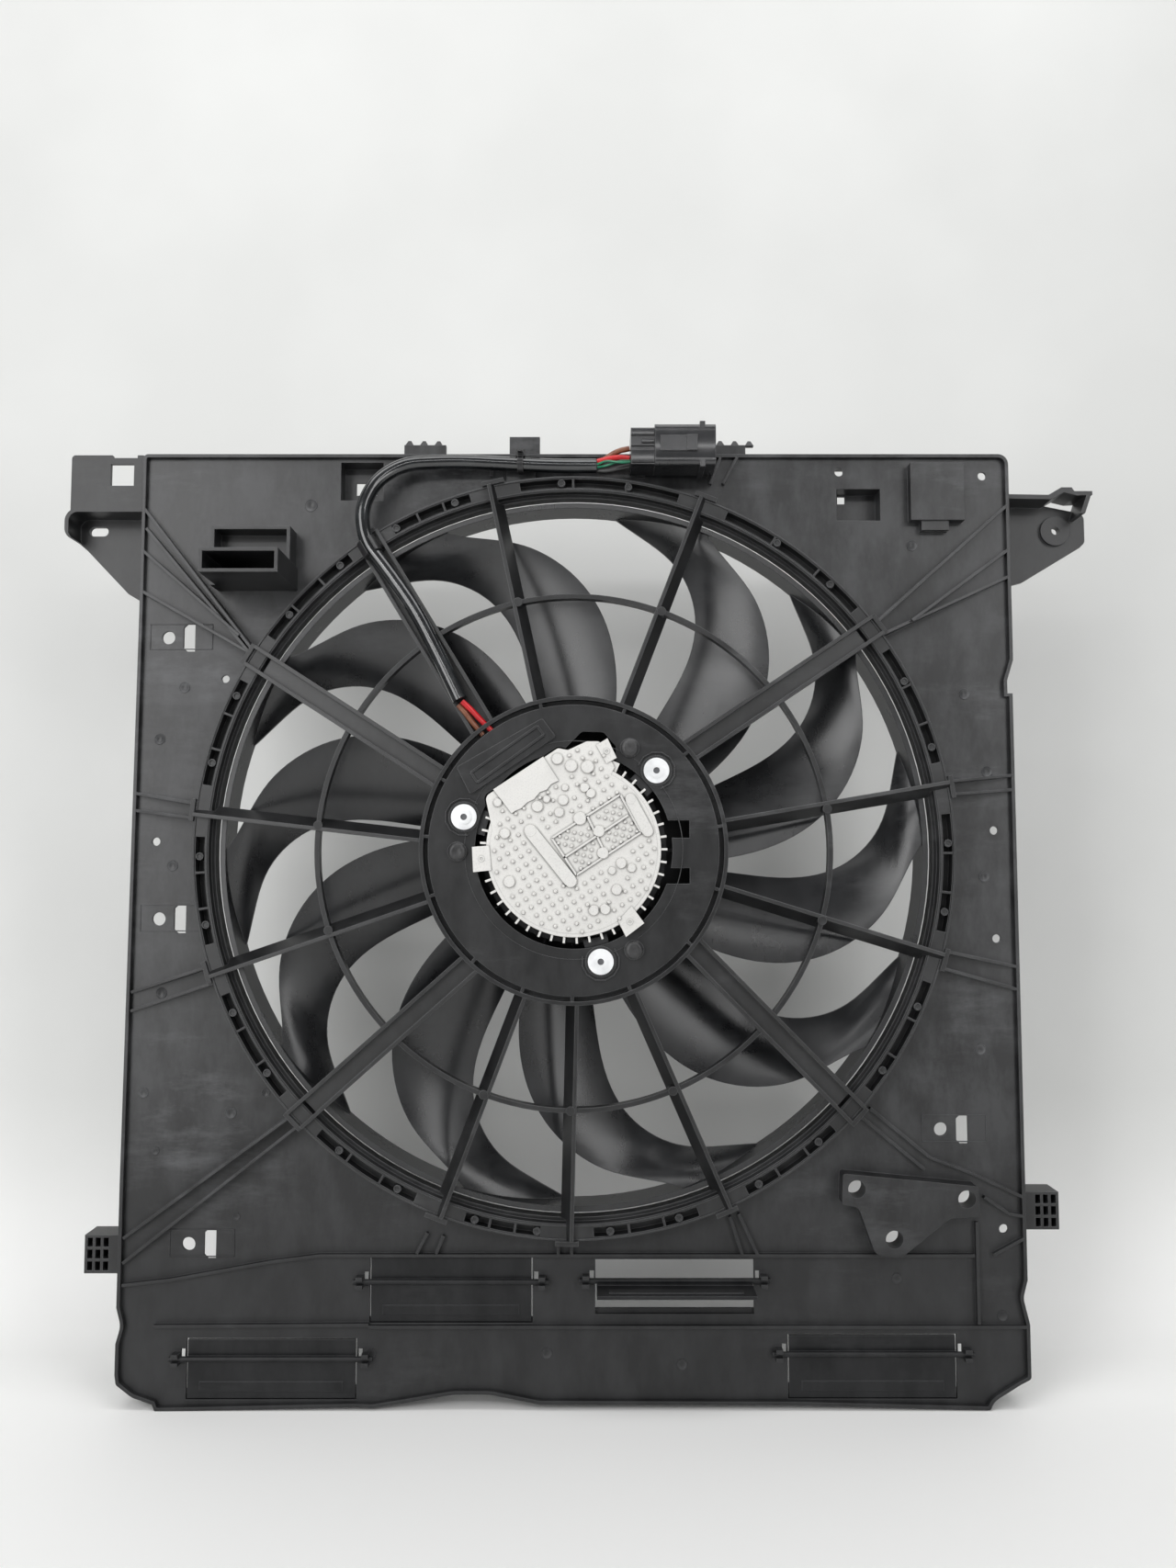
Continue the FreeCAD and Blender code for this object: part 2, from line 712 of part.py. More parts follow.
def motor_carrier():
    """Round plate that holds the motor: rim, groove, plate with windows, pad over the lead exit."""
    groove_out = carrier_radius - carrier_rim
    groove_in = groove_out - carrier_groove
    ring = turned([(groove_in - 3, carrier_floor), (groove_out, carrier_floor), (groove_out, carrier_back),
                   (carrier_radius, carrier_back), (carrier_radius, carrier_front), (groove_out, carrier_front),
                   (groove_out, carrier_floor + 2.5), (groove_in, carrier_floor + 2.5), (groove_in, plate_front),
                   (motor_opening, plate_front), (motor_opening, plate_back), (groove_in - 3, plate_back)])
    pad = prism([(-86.2, 60.5, 2), (-23.4, 96.6, 2), (-13.2, 82.9, 2), (-75.9, 40.2, 2)], plate_front - 0.5,
                plate_front + 2.5)
    cutters = [prism(cover_points(cover_gap), plate_back - 1, plate_front + 4)]
    cutters.append(prism([(-8, 73), (6, 87, 4), (22, 86.5, 4), (31, 76), (31, 60), (0, 60)], plate_back - 1,
                         plate_front + 4))
    for y_low, y_high in ((8.5, 21.3), (-25.1, -13.7)):
        cutters.append(block(motor_opening - 8, window_reach, y_low, y_high, plate_back - 1, plate_front + 1))
    for k in range(3):
        spot = polar(screw_circle, screw_first + 120 * k)
        cutters.append(rod(spot.x, spot.y, screw_radius + 0.2 + bush_wall, plate_back - 1, plate_front + 1))
    for name in ("lead_red", "lead_brown"):
        start = V(*lead_routes[name][1][-2])
        finish = V(*lead_routes[name][1][-1])
        cutters.append(Part.makeCylinder(lead_radius + fit_gap, 16, start, finish.sub(start)))
    whole = ring.fuse(pad).cut(cutters)
    stakes = []
    for k in range(3):
        spot = polar(stake_circle, stake_first + 120 * k)
        stakes.append(rod(spot.x, spot.y, stake_radius, plate_front - 0.5, plate_front + stake_height))
    for k in range(3):
        spot = polar(screw_circle, screw_first + 120 * k)
        well = rod(spot.x, spot.y, screw_well_radius + screw_well_wall, plate_front - 0.5,
                   plate_front + screw_well_rise)
        stakes.append(well.cut(rod(spot.x, spot.y, screw_well_radius, plate_front - 1, plate_front + 3)))
    for angle, _, kind in strut_angles:
        if kind != "cable":
            web = block(groove_in - 0.5, groove_out + 0.5, -groove_web / 2, groove_web / 2, carrier_floor + 1,
                        carrier_front - 1)
            web.rotate(V(0, 0, 0), V(0, 0, 1), angle)
            stakes.append(web)
    return whole.fuse(stakes).removeSplitter()


def ear_left():
    """Left ear: a slotted tray at the seating plane with a deep wall, and a windowed plate above it."""
    inner_x = panel_left
    tray = [(inner_x, 266), (-398, 266, 10), (-398, 246, 10), (-388.5, 237.7), (-355.6, 203.3), (inner_x, 192)]
    plate = prism(tray, ear_back, ear_back + ear_plate)
    full = prism(tray, ear_back, panel_face)
    inside = [(inner_x + 5, 266 - ear_wall), (-398 + ear_wall, 266 - ear_wall, 7), (-398 + ear_wall, 246, 7),
              (-388.5, 237.7), (-420, 200), (-350, 150), (inner_x + 5, 150)]
    wall = full.cut(prism(inside, ear_back - 1, panel_face + 1))
    wall = wall.cut(block(-420, inner_x + 1, 150, 243, ear_back - 1, panel_face + 1))
    upper = prism([(inner_x, 308, 2), (-342.5, 308), (-342.5, 305.8), (-361, 305.8), (-362, 308), (-393.7, 308, 3),
                   (-393.7, 263), (inner_x, 263)], panel_face - 3, panel_face)
    window = block(-363, -345, 283.7, 300.8, 0, 40)
    half = ear_slot_length / 2 - ear_hole_radius - 0.6
    radius = ear_hole_radius + 0.6
    slot = block(-ear_hole_x - half, -ear_hole_x + half, ear_hole_y - radius, ear_hole_y + radius, 0, 10)
    ends = [rod(-ear_hole_x - half, ear_hole_y, radius, 0, 10), rod(-ear_hole_x + half, ear_hole_y, radius, 0, 10)]
    ear = plate.fuse([wall, upper]).cut([window, slot] + ends).removeSplitter()
    ear.translate(V(datum_x, 0, 0))
    return ear


def ear_right():
    """Right ear: a plate at the seating plane with a boss, a wall over it and a hook at its end."""
    inner_x = panel_right
    points = [(inner_x, 273.5), (370, 275), (404.4, 268, 6), (404.4, 244.8, 5), (400.3, 240.7), (354, 212.7, 8),
              (inner_x, 208)]
    plate = prism(points, ear_back, ear_back + ear_plate)
    boss = rod(ear_hole_x, ear_hole_y, ear_boss_radius, ear_back, ear_back + ear_plate + ear_boss_rise)
    wall = prism([(inner_x, 273.5), (inner_x, 277), (368, 276.5), (378, 282.5), (386, 282.5), (388, 279.5),
                  (402, 279.5), (402, 276.5), (390, 276), (380, 278.5), (370, 273)], ear_back, panel_face)
    web = prism([(402, 279.5), (398.5, 279.5), (392.5, 262), (396, 262)], ear_back, panel_face)
    hole = rod(ear_hole_x, ear_hole_y, ear_hole_radius, 0, 20)
    ear = plate.fuse([boss, wall, web]).cut(hole).removeSplitter()
    ear.translate(V(datum_x, 0, 0))
    return ear


def peg(x_inner, x_outer, y_low, y_high, side):
    """Lower peg with waffle pockets in its front face."""
    x_low = min(x_inner, x_outer)
    x_high = max(x_inner, x_outer)
    body = block(x_low, x_high, y_low, y_high, 4, 26)
    columns = (abs(x_outer - x_inner) - 8 - 2) / 3
    start = min(x_outer, x_outer - side * (3 * columns + 2))
    rows = (y_high - y_low - 2) / 3
    pockets = []
    for i in range(3):
        for j in range(3):
            x = start + 2 + i * columns
            y = y_low + 2 + j * rows
            pockets.append(block(x, x + columns - 2, y, y + rows - 2, 10, 27))
    return body.cut(pockets)


def flap_solid(flap):
    """One ram-air flap: a plate with a pivot rod in front of it, drawn shut and turned to its place."""
    x_low = flap["x"][0] + datum_x
    x_high = flap["x"][1] + datum_x
    y_low, y_high = flap["y"]
    plate = block(x_low + flap_side_gap, x_high - flap_side_gap, y_low + flap_side_gap, y_high - flap_side_gap,
                  panel_face - flap_thickness, panel_face)
    strip_low = y_low + 6
    bevel = block(x_low + 10, x_high - 10, strip_low, strip_low + 7, panel_face - 0.6, panel_face + 0.8)
    neck = block(x_low + flap_side_gap, x_high - flap_side_gap, flap["pivot"] - 1.2, flap["pivot"] + 1.2,
                 panel_face - 0.5, pivot_depth)
    pivot = Part.makeCylinder(pivot_radius, x_high - x_low + 2 * pivot_overhang,
                              V(x_low - pivot_overhang, flap["pivot"], pivot_depth), V(1, 0, 0))
    solid = plate.fuse([bevel, neck, pivot]).removeSplitter()
    solid.rotate(V(0, flap["pivot"], pivot_depth), V(-1, 0, 0), flap["open"])
    return solid


def blade(root):
    """One swept and cambered blade: a surface through its edges, thickened along the axis."""
    front = fan_front - blade_edge_clear - blade_thickness
    back = fan_back + blade_edge_clear
    rows = []
    for radius, low_sweep, high_sweep in blade_sweep:
        low_angle = root[0] + low_sweep
        high_angle = root[1] + high_sweep
        row = []
        for share in (0.0, 0.33, 0.67, 1.0):
            angle = low_angle + (high_angle - low_angle) * share
            camber = 3.5 * math.sin(math.pi * share)
            row.append(polar(radius, angle, front + (back - front) * share + camber))
        rows.append(row)
    surface = Part.BSplineSurface()
    surface.interpolate(rows)
    solid = surface.toShape().extrude(V(0, 0, blade_thickness))
    span = tube(hub_radius, ring_inner, fan_back, fan_front)
    return solid.common(span)


def fan_hub():
    """Hub of the fan: a cup with its floor to the radiator, ribbed inside."""
    cup = turned([(hub_bore, fan_back), (hub_radius, fan_back), (hub_radius, fan_front), (hub_radius - hub_wall, fan_front),
                  (hub_radius - hub_wall, fan_back + hub_floor), (hub_bore, fan_back + hub_floor)])
    ribs = []
    for k in range(hub_ribs):
        rib = block(can_radius + 3, hub_radius - hub_wall / 2, -1.2, 1.2, fan_back + hub_floor / 2, fan_front - 6)
        rib.rotate(V(0, 0, 0), V(0, 0, 1), 360.0 / hub_ribs * k)
        ribs.append(rib)
    holes = []
    for k in range(3):
        spot = polar(fan_screw_circle, 120 * k)
        holes.append(rod(spot.x, spot.y, fan_screw_radius + fit_gap, fan_back - 1, can_back + 1))
    return cup.fuse(ribs).cut(holes).removeSplitter()


def fan_ring():
    """Outer ring that ties the blade tips, with a small rolled lip at the front."""
    return turned([(ring_inner, fan_back), (ring_inner + 2.2, fan_back), (ring_inner + 2.2, fan_front - ring_lip),
                   (ring_outer, fan_front - ring_lip), (ring_outer, fan_front), (ring_inner, fan_front)])


def rotor_can():
    """Steel can that carries the magnets."""
    can = turned([(shaft_radius, can_back), (can_radius, can_back), (can_radius, can_front),
                  (can_radius - can_wall, can_front), (can_radius - can_wall, can_back + can_floor),
                  (shaft_radius, can_back + can_floor)])
    holes = []
    for k in range(3):
        spot = polar(fan_screw_circle, 120 * k)
        holes.append(rod(spot.x, spot.y, fan_screw_radius + shaft_gap, can_back - 1, can_back + can_floor + 1))
    return can.cut(holes)


def magnets():
    """Ring of arc magnets inside the can."""
    pitch = 360.0 / magnet_poles
    solids = []
    for k in range(magnet_poles):
        start = k * pitch + magnet_gap_angle / 2
        solids.append(sector(magnet_inner, magnet_outer, start, start + pitch - magnet_gap_angle, magnet_back,
                             magnet_front))
    return solids


def stator_core():
    """Stack of laminations: back ring, teeth and wide tips."""
    pitch = 360.0 / stator_teeth
    back_ring = tube(tube_outer, tube_outer + core_back, magnet_back, magnet_front)
    pieces = [back_ring]
    for k in range(stator_teeth):
        tooth = block(tube_outer + core_back / 2, core_outer - tooth_tip / 2, -tooth_width / 2, tooth_width / 2,
                      magnet_back, magnet_front)
        tooth.rotate(V(0, 0, 0), V(0, 0, 1), k * pitch)
        tip = sector(core_outer - tooth_tip, core_outer, (k - 0.5) * pitch + slot_open_angle / 2,
                     (k + 0.5) * pitch - slot_open_angle / 2, magnet_back, magnet_front)
        pieces += [tooth, tip]
    return joined(pieces)


def coils():
    """One wound coil round each tooth."""
    pitch = 360.0 / stator_teeth
    solids = []
    near = tube_outer + core_back + 3
    far = core_outer - tooth_tip - 1
    for k in range(stator_teeth):
        half = tooth_width / 2 + coil_clear
        outer = block(near, far, -half - coil_build, half + coil_build, magnet_back - coil_overhang,
                      magnet_front + coil_overhang)
        inner = block(near - 1, far + 1, -half, half, magnet_back - coil_clear, magnet_front + coil_clear)
        coil = outer.cut(inner)
        wedge = sector(near - 5, far + 20, -pitch / 2 + 0.4, pitch / 2 - 0.4, magnet_back - 10, magnet_front + 10)
        coil = coil.common(wedge)
        coil.rotate(V(0, 0, 0), V(0, 0, 1), k * pitch)
        solids.append(coil)
    return solids


def bearing_rings(outer):
    """Outer or inner rings of the two ball bearings."""
    solids = []
    middle = (bearing_outer + shaft_radius) / 2
    for low in (bearing_low, bearing_high):
        if outer:
            solids.append(tube(middle + bearing_gap / 2, bearing_outer, low, low + bearing_width))
        else:
            solids.append(tube(shaft_radius, middle - bearing_gap / 2, low, low + bearing_width))
    return solids


def motor_base():
    """Cast base: bearing tube, floor, rim and three lugs under the carrier."""
    ring = turned([(bearing_outer, magnet_back), (tube_outer, magnet_back), (tube_outer, base_floor),
                   (base_radius, base_floor), (base_radius, base_front), (bearing_outer, base_front)])
    pieces = [ring]
    for k in range(3):
        lug = prism([(52, -9), (screw_circle + 9, -9, 8.5), (screw_circle + 9, 9, 8.5), (52, 9)],
                    plate_back - base_lug_thickness, plate_back)
        arm = block(cover_radius + cover_clear, screw_circle + 4, -3, 3, base_front - base_skin / 2,
                    plate_back - base_lug_thickness / 2)
        for piece in (lug, arm):
            piece.rotate(V(0, 0, 0), V(0, 0, 1), screw_first + 120 * k)
        lug = lug.cut([rod(0, 0, cover_radius + cover_clear, 0, 100),
                       prism(cover_points(cover_clear), plate_back - base_lug_thickness - 1, plate_front)])
        pieces += [lug, arm]
    for k in range(3):
        spot = polar(board_pillar_circle, screw_first + 120 * k)
        pieces.append(rod(spot.x, spot.y, board_pillar_radius, base_floor + 1, board_back))
    base = joined(pieces)
    holes = []
    for k in range(3):
        spot = polar(screw_circle, screw_first + 120 * k)
        holes.append(rod(spot.x, spot.y, screw_radius + shaft_gap, base_front + 1, plate_back + 1))
    return base.cut(holes)


def motor_cover():
    """Cast cover: round shell with a straight upper edge, three lugs and short fins on its rim."""
    body = rod(0, 0, cover_radius - cover_fin_length, cover_back, cover_front)
    top = prism(cover_points(0), cover_back + 8, cover_front)
    cheek = tube(cover_radius - cover_fin_length - 1, cover_radius, cover_back, cover_back + 4)
    pieces = [body, top, cheek]
    count = int(360 / cover_fin_pitch)
    for k in range(count):
        fin_block = block(cover_radius - cover_fin_length - 1, cover_radius, -cover_fin_width / 2, cover_fin_width / 2,
                          cover_back + 2, cover_front - 1)
        fin_block.rotate(V(0, 0, 0), V(0, 0, 1), k * cover_fin_pitch)
        pieces.append(fin_block)
    for k in range(3):
        lug = block(cover_radius - 12, lug_reach, -lug_width / 2, lug_width / 2, cover_front - 6, cover_front - 1.5)
        lug.rotate(V(0, 0, 0), V(0, 0, 1), lug_first + 120 * k)
        pieces.append(lug)
    cover = joined(pieces)
    hollow = rod(0, 0, cover_radius - cover_fin_length - cover_wall, cover_back - 1, cover_front - cover_skin)
    return cover.cut(hollow)


def round_path(points):
    """Wire of straight runs joined by arcs, each arc as large as its two runs allow."""
    edges = []
    radii = []
    leave = V(*points[0])
    for i in range(1, len(points) - 1):
        here = V(*points[i])
        before = V(*points[i - 1]).sub(here)
        after = V(*points[i + 1]).sub(here)
        shorter = min(before.Length, after.Length)
        turn = math.pi - before.getAngle(after)
        reach = 0.45 * shorter
        radii.append(reach / math.tan(turn / 2))
        start = here.add(before.normalize() * reach)
        finish = here.add(after.normalize() * reach)
        inward = before.add(after).normalize()
        centre = here.add(inward * math.hypot(reach, radii[-1]))
        middle = centre.sub(inward * radii[-1])
        edges.append(Part.LineSegment(leave, start).toShape())
        edges.append(Part.Arc(start, middle, finish).toShape())
        leave = finish
    edges.append(Part.LineSegment(leave, V(*points[-1])).toShape())
    return Part.Wire(edges), radii


def cord(name, points, radius):
    """Round lead along a path; prints its bend radii and compares its volume."""
    path, radii = round_path(points)
    start = V(*points[0])
    towards = V(*points[1]).sub(start)
    circle = Part.Wire(Part.Circle(start, towards, radius).toShape())
    solid = path.makePipeShell([circle], True, False)
    ideal = math.pi * radius ** 2 * path.Length
    print(name, "length", round(path.Length, 1), "least radius", round(min(radii), 1),
          "volume ratio", round(solid.Volume / ideal, 4))
    return solid


def cable_tie():
    """Strap round the sleeve with its locking head on top."""
    start = V(tie_x - tie_width / 2, tie_y, tie_depth)
    inner = sleeve_radius + tie_slack
    strap = Part.makeCylinder(inner + tie_thickness, tie_width, start, V(1, 0, 0))
    inside = Part.makeCylinder(inner, tie_width, start, V(1, 0, 0))
    head = block(tie_x - 3.5, tie_x + 3.5, tie_y + inner - 0.5, tie_y + inner + 5, tie_depth - 2, tie_depth + 4)
    tail = block(tie_x - 1.9, tie_x + 1.9, tie_y + inner + 1.5, tie_y + inner + 2.8, tie_depth - 7, tie_depth + 9)
    return strap.fuse([head, tail]).cut(inside).removeSplitter()


def sleeve_clip():
    """Sprung clip on the barrel that holds the sleeve where it leaves its channel."""
    first = V(*sleeve_route[3])
    second = V(*sleeve_route[4])
    middle = first.add(second.sub(first) * clip_share)
    along = second.sub(first).normalize() * (1 - clip_lean)
    along = along.add(V(*sleeve_route[5]).sub(second).normalize() * clip_lean).normalize()
    low = middle.sub(along * clip_length / 2)
    shell = Part.makeCylinder(sleeve_radius + clip_wall, clip_length, low, along)
    bore = cord("sleeve_clip_bore", sleeve_route, sleeve_radius + clip_gap)
    turn = math.degrees(math.atan2(along.y, along.x))
    foot = middle.sub(V(0, 0, middle.z - barrel_front))
    leg = Part.makeBox(clip_length - 3, 7, middle.z - barrel_front - 3)
    leg.translate(V(-(clip_length - 3) / 2, -3.5, 0))
    leg.rotate(V(0, 0, 0), V(0, 0, 1), turn)
    leg.translate(foot)
    mouth = Part.makeBox(clip_length + 4, 6, 12)
    mouth.translate(V(-(clip_length + 4) / 2, -3, 3))
    mouth.rotate(V(0, 0, 0), V(0, 0, 1), turn)
    mouth.translate(middle)
    return shell.fuse(leg).cut([bore, mouth]).removeSplitter()


def terminals():
    """Four blades in the socket."""
    blades = []
    for k in range(4):
        y = connector_y + 7 + 6 * k
        blades.append(block(connector_x + 30, connector_x + 46, y - 1.6, y + 1.6, lip_front + connector_depth / 2 - 0.5,
                            lip_front + connector_depth / 2 + 0.5))
    return blades


def connector_latch():
    """Locking lever on the front of the connector housing."""
    front = lip_front + connector_depth
    arm = block(connector_x + 22, connector_x + 50, connector_y + 10, connector_y + 22, front, front + 2)
    thumb = block(connector_x + 42, connector_x + 50, connector_y + 10, connector_y + 22, front + 2, front + 3.5)
    return arm.fuse(thumb).removeSplitter()


def rounded_bar(x_low, x_high, y_low, y_high, low, high, radius):
    """Block with its four edges along X rounded."""
    solid = block(x_low, x_high, y_low, y_high, low, high)
    edges = [e for e in solid.Edges if abs(e.Vertexes[0].X - e.Vertexes[1].X) > 0.001]
    return solid.makeFillet(radius, edges)


def connector():
    """Connector housing with its wider socket end."""
    x0 = connector_x
    low = lip_front
    high = low + connector_depth
    y0 = connector_y
    rear = prism([(x0, y0 + 1), (x0 + 18, y0 + 1), (x0 + 18, y0 + 29), (x0, y0 + 29)], low + 1, high - 2)
    main = rounded_bar(x0 + 18, x0 + connector_length, y0, y0 + connector_height, low, high, connector_corner)
    collar = block(x0 + 52, x0 + 56, y0 - 1.5, y0 + connector_height + 1.5, low, high)
    socket = block(x0 + 30, x0 + connector_length + 1, y0 + 2.5, y0 + connector_height - 2.5, low + 2.5, high - 2.5)
    return joined([rear, main, collar]).cut(socket)


def export(name, pieces):
    """Stand the pieces up and write them as one file."""
    solids = []
    for piece in pieces:
        solids += piece.Solids
    whole = Part.Compound(solids) if len(solids) > 1 else solids[0]
    whole.rotate(V(0, 0, 0), V(1, 0, 0), 90)
    bad = [i for i, s in enumerate(whole.Solids) if not s.isValid()]
    print(name, "solids", len(solids), "volume", round(whole.Volume), "bad" if bad else "")
    whole.exportStep("parts/" + name + ".step")


def motor_screws():
    """Three flanged screws through the carrier into the motor base."""
    screws = []
    for k in range(3):
        spot = polar(screw_circle, screw_first + 120 * k)
        flange = rod(spot.x, spot.y, screw_head_radius, plate_front, plate_front + screw_head_height)
        top = plate_front + screw_head_height
        head = rod(spot.x, spot.y, screw_crown_radius, top - 0.5, top + screw_crown_rise)
        drive = rod(spot.x, spot.y, screw_drive_radius, top + screw_crown_rise - screw_drive_depth, top + 4)
        shank = rod(spot.x, spot.y, screw_radius, base_front + 1.5, plate_front + 0.5)
        screws.append(flange.fuse([head, shank]).cut(drive).removeSplitter())
    return screws


def screw_bushes():
    """Metal bushes in the carrier that the screws clamp."""
    bushes = []
    for k in range(3):
        spot = polar(screw_circle, screw_first + 120 * k)
        outer = rod(spot.x, spot.y, screw_radius + 0.2 + bush_wall - shaft_gap, plate_back, plate_front)
        bushes.append(outer.cut(rod(spot.x, spot.y, screw_radius + 0.2, plate_back - 1, plate_front + 1)))
    return bushes


def fan_screws():
    """Three screws that fix the fan to the rotor can."""
    screws = []
    for k in range(3):
        spot = polar(fan_screw_circle, 120 * k)
        head = rod(spot.x, spot.y, 4.5, fan_back - 2.5, fan_back)
        shank = rod(spot.x, spot.y, fan_screw_radius, fan_back - 0.5, can_back + can_floor + 1)
        screws.append(head.fuse(shank).removeSplitter())
    return screws


def circlip():
    """Open ring that keeps the shaft from leaving the front bearing."""
    low = bearing_high + bearing_width
    ring = tube(shaft_radius, shaft_radius + circlip_wall, low, low + circlip_thickness)
    return ring.cut(block(0, 2 * shaft_radius + circlip_wall, -1.5, 1.5, low - 1, low + circlip_thickness + 1))


def board_parts():
    """Capacitors lying on the board, and the power transistors."""
    cans = []
    for k in range(3):
        start = V(-28 + 22 * k - capacitor_length / 2 + 4, 20, board_front + capacitor_radius)
        cans.append(Part.makeCylinder(capacitor_radius, capacitor_length, start, V(1, 0, 0)))
    chips = []
    for k in range(6):
        chip = block(28, 28 + transistor_width, -4.5, 4.5, board_front, board_front + transistor_height)
        chip.rotate(V(0, 0, 0), V(0, 0, 1), transistor_first + transistor_step * k)
        chips.append(chip)
    return cans, chips


os.makedirs("parts", exist_ok=True)
export("shroud_panel", [shroud_panel()])
export("shroud_rim", [shroud_rim()])
export("box_holder", [deep_holder()])
export("shroud_barrel", [barrel()])
export("motor_struts", struts())
export("stiffening_ring", [mid_ring()])
export("motor_carrier", [motor_carrier()])
export("upper_ear_left", [ear_left()])
export("upper_ear_right", [ear_right()])
export("lower_peg_left", [peg(panel_left - 3 + datum_x, -366.0, -315.6, -287.6, -1)])
export("lower_peg_right", [peg(panel_right - 1 + datum_x, 363.4, -283.6, -256.0, 1)])
for flap in flaps:
    export("ram_flap_" + flap["name"], [flap_solid(flap)])
export("fan_hub", [fan_hub()])
export("fan_blades", [blade(root) for root in blade_roots])
export("fan_ring", [fan_ring()])
export("fan_screws", fan_screws())
export("rotor_can", [rotor_can()])
export("rotor_magnets", magnets())
export("motor_shaft", [rod(0, 0, shaft_radius, fan_back, base_front - 0.5)])
export("stator_core", [stator_core()])
export("stator_coils", coils())
export("shaft_circlip", [circlip()])
export("bearing_outer_rings", bearing_rings(True))
export("bearing_inner_rings", bearing_rings(False))
export("bearing_spacer", [tube(bearing_outer - 2.4, bearing_outer, bearing_low + bearing_width, bearing_high)])
export("motor_base", [motor_base()])
export("motor_cover", [motor_cover()])
export("cover_gasket", [tube(cover_radius - 6, cover_radius, base_front, cover_back)])
export("circuit_board", [rod(0, 0, board_radius, board_back, board_front)])
capacitors, transistors = board_parts()
export("board_capacitors", capacitors)
export("power_transistors", transistors)
export("motor_screws", motor_screws())
export("screw_bushes", screw_bushes())
export("harness_sleeve", [cord("harness_sleeve", sleeve_route, sleeve_radius)])
for name, routes in lead_routes.items():
    thickness = thin_lead_radius if name == "leads_green" else lead_radius
    export(name, [cord(name, route, thickness) for route in routes])
export("sleeve_clip", [sleeve_clip()])
export("cable_tie", [cable_tie()])
export("connector_housing", [connector()])
export("connector_terminals", terminals())
export("connector_latch", [connector_latch()])
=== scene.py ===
import math

import bmesh
import bpy
from mathutils import Matrix, Vector


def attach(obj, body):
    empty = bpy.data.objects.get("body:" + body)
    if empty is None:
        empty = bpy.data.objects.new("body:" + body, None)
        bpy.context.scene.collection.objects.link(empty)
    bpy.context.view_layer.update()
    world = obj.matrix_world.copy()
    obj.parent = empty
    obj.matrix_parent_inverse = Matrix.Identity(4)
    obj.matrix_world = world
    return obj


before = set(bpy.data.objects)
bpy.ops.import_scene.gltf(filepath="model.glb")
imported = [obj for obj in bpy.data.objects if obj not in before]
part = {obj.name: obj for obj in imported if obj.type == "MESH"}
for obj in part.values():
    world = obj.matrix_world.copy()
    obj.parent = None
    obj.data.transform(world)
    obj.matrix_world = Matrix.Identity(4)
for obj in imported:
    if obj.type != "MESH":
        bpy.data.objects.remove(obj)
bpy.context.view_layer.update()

# Shroud panel with its rim, ears, pegs and box holder.
# One moulding of glass-filled nylon: satin black, finely grained and paler where it rubbed; its edges are
# painted paler, a painted highlight mixed with wear, and the panel's lower part carries painted shade. The
# grain, the mottle, the rubbed marks and the painted edge highlights are shared with the other mouldings
# further down.


def feed(tree, socket, value):
    """Give a socket a plain value, or link it to another socket."""
    if isinstance(value, bpy.types.NodeSocket):
        tree.links.new(value, socket)
    else:
        socket.default_value = value


def object_place(tree):
    return tree.nodes.new("ShaderNodeTexCoord").outputs["Object"]


def noise(tree, place, scale, detail, rough=0.55):
    node = tree.nodes.new("ShaderNodeTexNoise")
    feed(tree, node.inputs["Vector"], place)
    feed(tree, node.inputs["Scale"], scale)
    feed(tree, node.inputs["Detail"], detail)
    feed(tree, node.inputs["Roughness"], rough)
    return node.outputs["Fac"]


def ramp(tree, value, low, high):
    """Share that runs from 0 to 1 while the value runs from low to high."""
    node = tree.nodes.new("ShaderNodeMapRange")
    node.inputs["From Min"].default_value = low
    node.inputs["From Max"].default_value = high
    tree.links.new(value, node.inputs["Value"])
    return node.outputs["Result"]


def spread(tree, share, low, high):
    """Number that runs from low to high while the share runs from 0 to 1."""
    node = tree.nodes.new("ShaderNodeMapRange")
    node.inputs["To Min"].default_value = low
    node.inputs["To Max"].default_value = high
    tree.links.new(share, node.inputs["Value"])
    return node.outputs["Result"]


def maths(tree, operation, *terms, clamp=False):
    """Result of one operation on numbers and sockets."""
    node = tree.nodes.new("ShaderNodeMath")
    node.operation = operation
    node.use_clamp = clamp
    for socket, term in zip(node.inputs, terms):
        feed(tree, socket, term)
    return node.outputs[0]


def between(tree, share, first, second):
    """Colour between two others, each one a plain colour or a socket."""
    node = tree.nodes.new("ShaderNodeMix")
    node.data_type = "RGBA"
    share_in, first_in, second_in = node.inputs[0], node.inputs[6], node.inputs[7]
    tree.links.new(share, share_in)
    for socket, colour in ((first_in, first), (second_in, second)):
        feed(tree, socket, (*colour, 1.0) if isinstance(colour, tuple) else colour)
    return node.outputs[2]


def soft_edges(tree, radius):
    """Normal that rounds every edge by a radius."""
    node = tree.nodes.new("ShaderNodeBevel")
    node.samples = 4
    node.inputs["Radius"].default_value = radius
    return node.outputs["Normal"]


def emboss(tree, skin, height, strength, distance, under=None):
    """Bump a skin by a height, on top of another normal where one is given."""
    node = tree.nodes.new("ShaderNodeBump")
    node.inputs["Strength"].default_value = strength
    node.inputs["Distance"].default_value = distance
    tree.links.new(height, node.inputs["Height"])
    if under is not None:
        tree.links.new(under, node.inputs["Normal"])
    tree.links.new(node.outputs["Normal"], skin.inputs["Normal"])


def new_material(name):
    made = bpy.data.materials.new(name)
    made.use_nodes = True
    return made, made.node_tree, made.node_tree.nodes["Principled BSDF"]


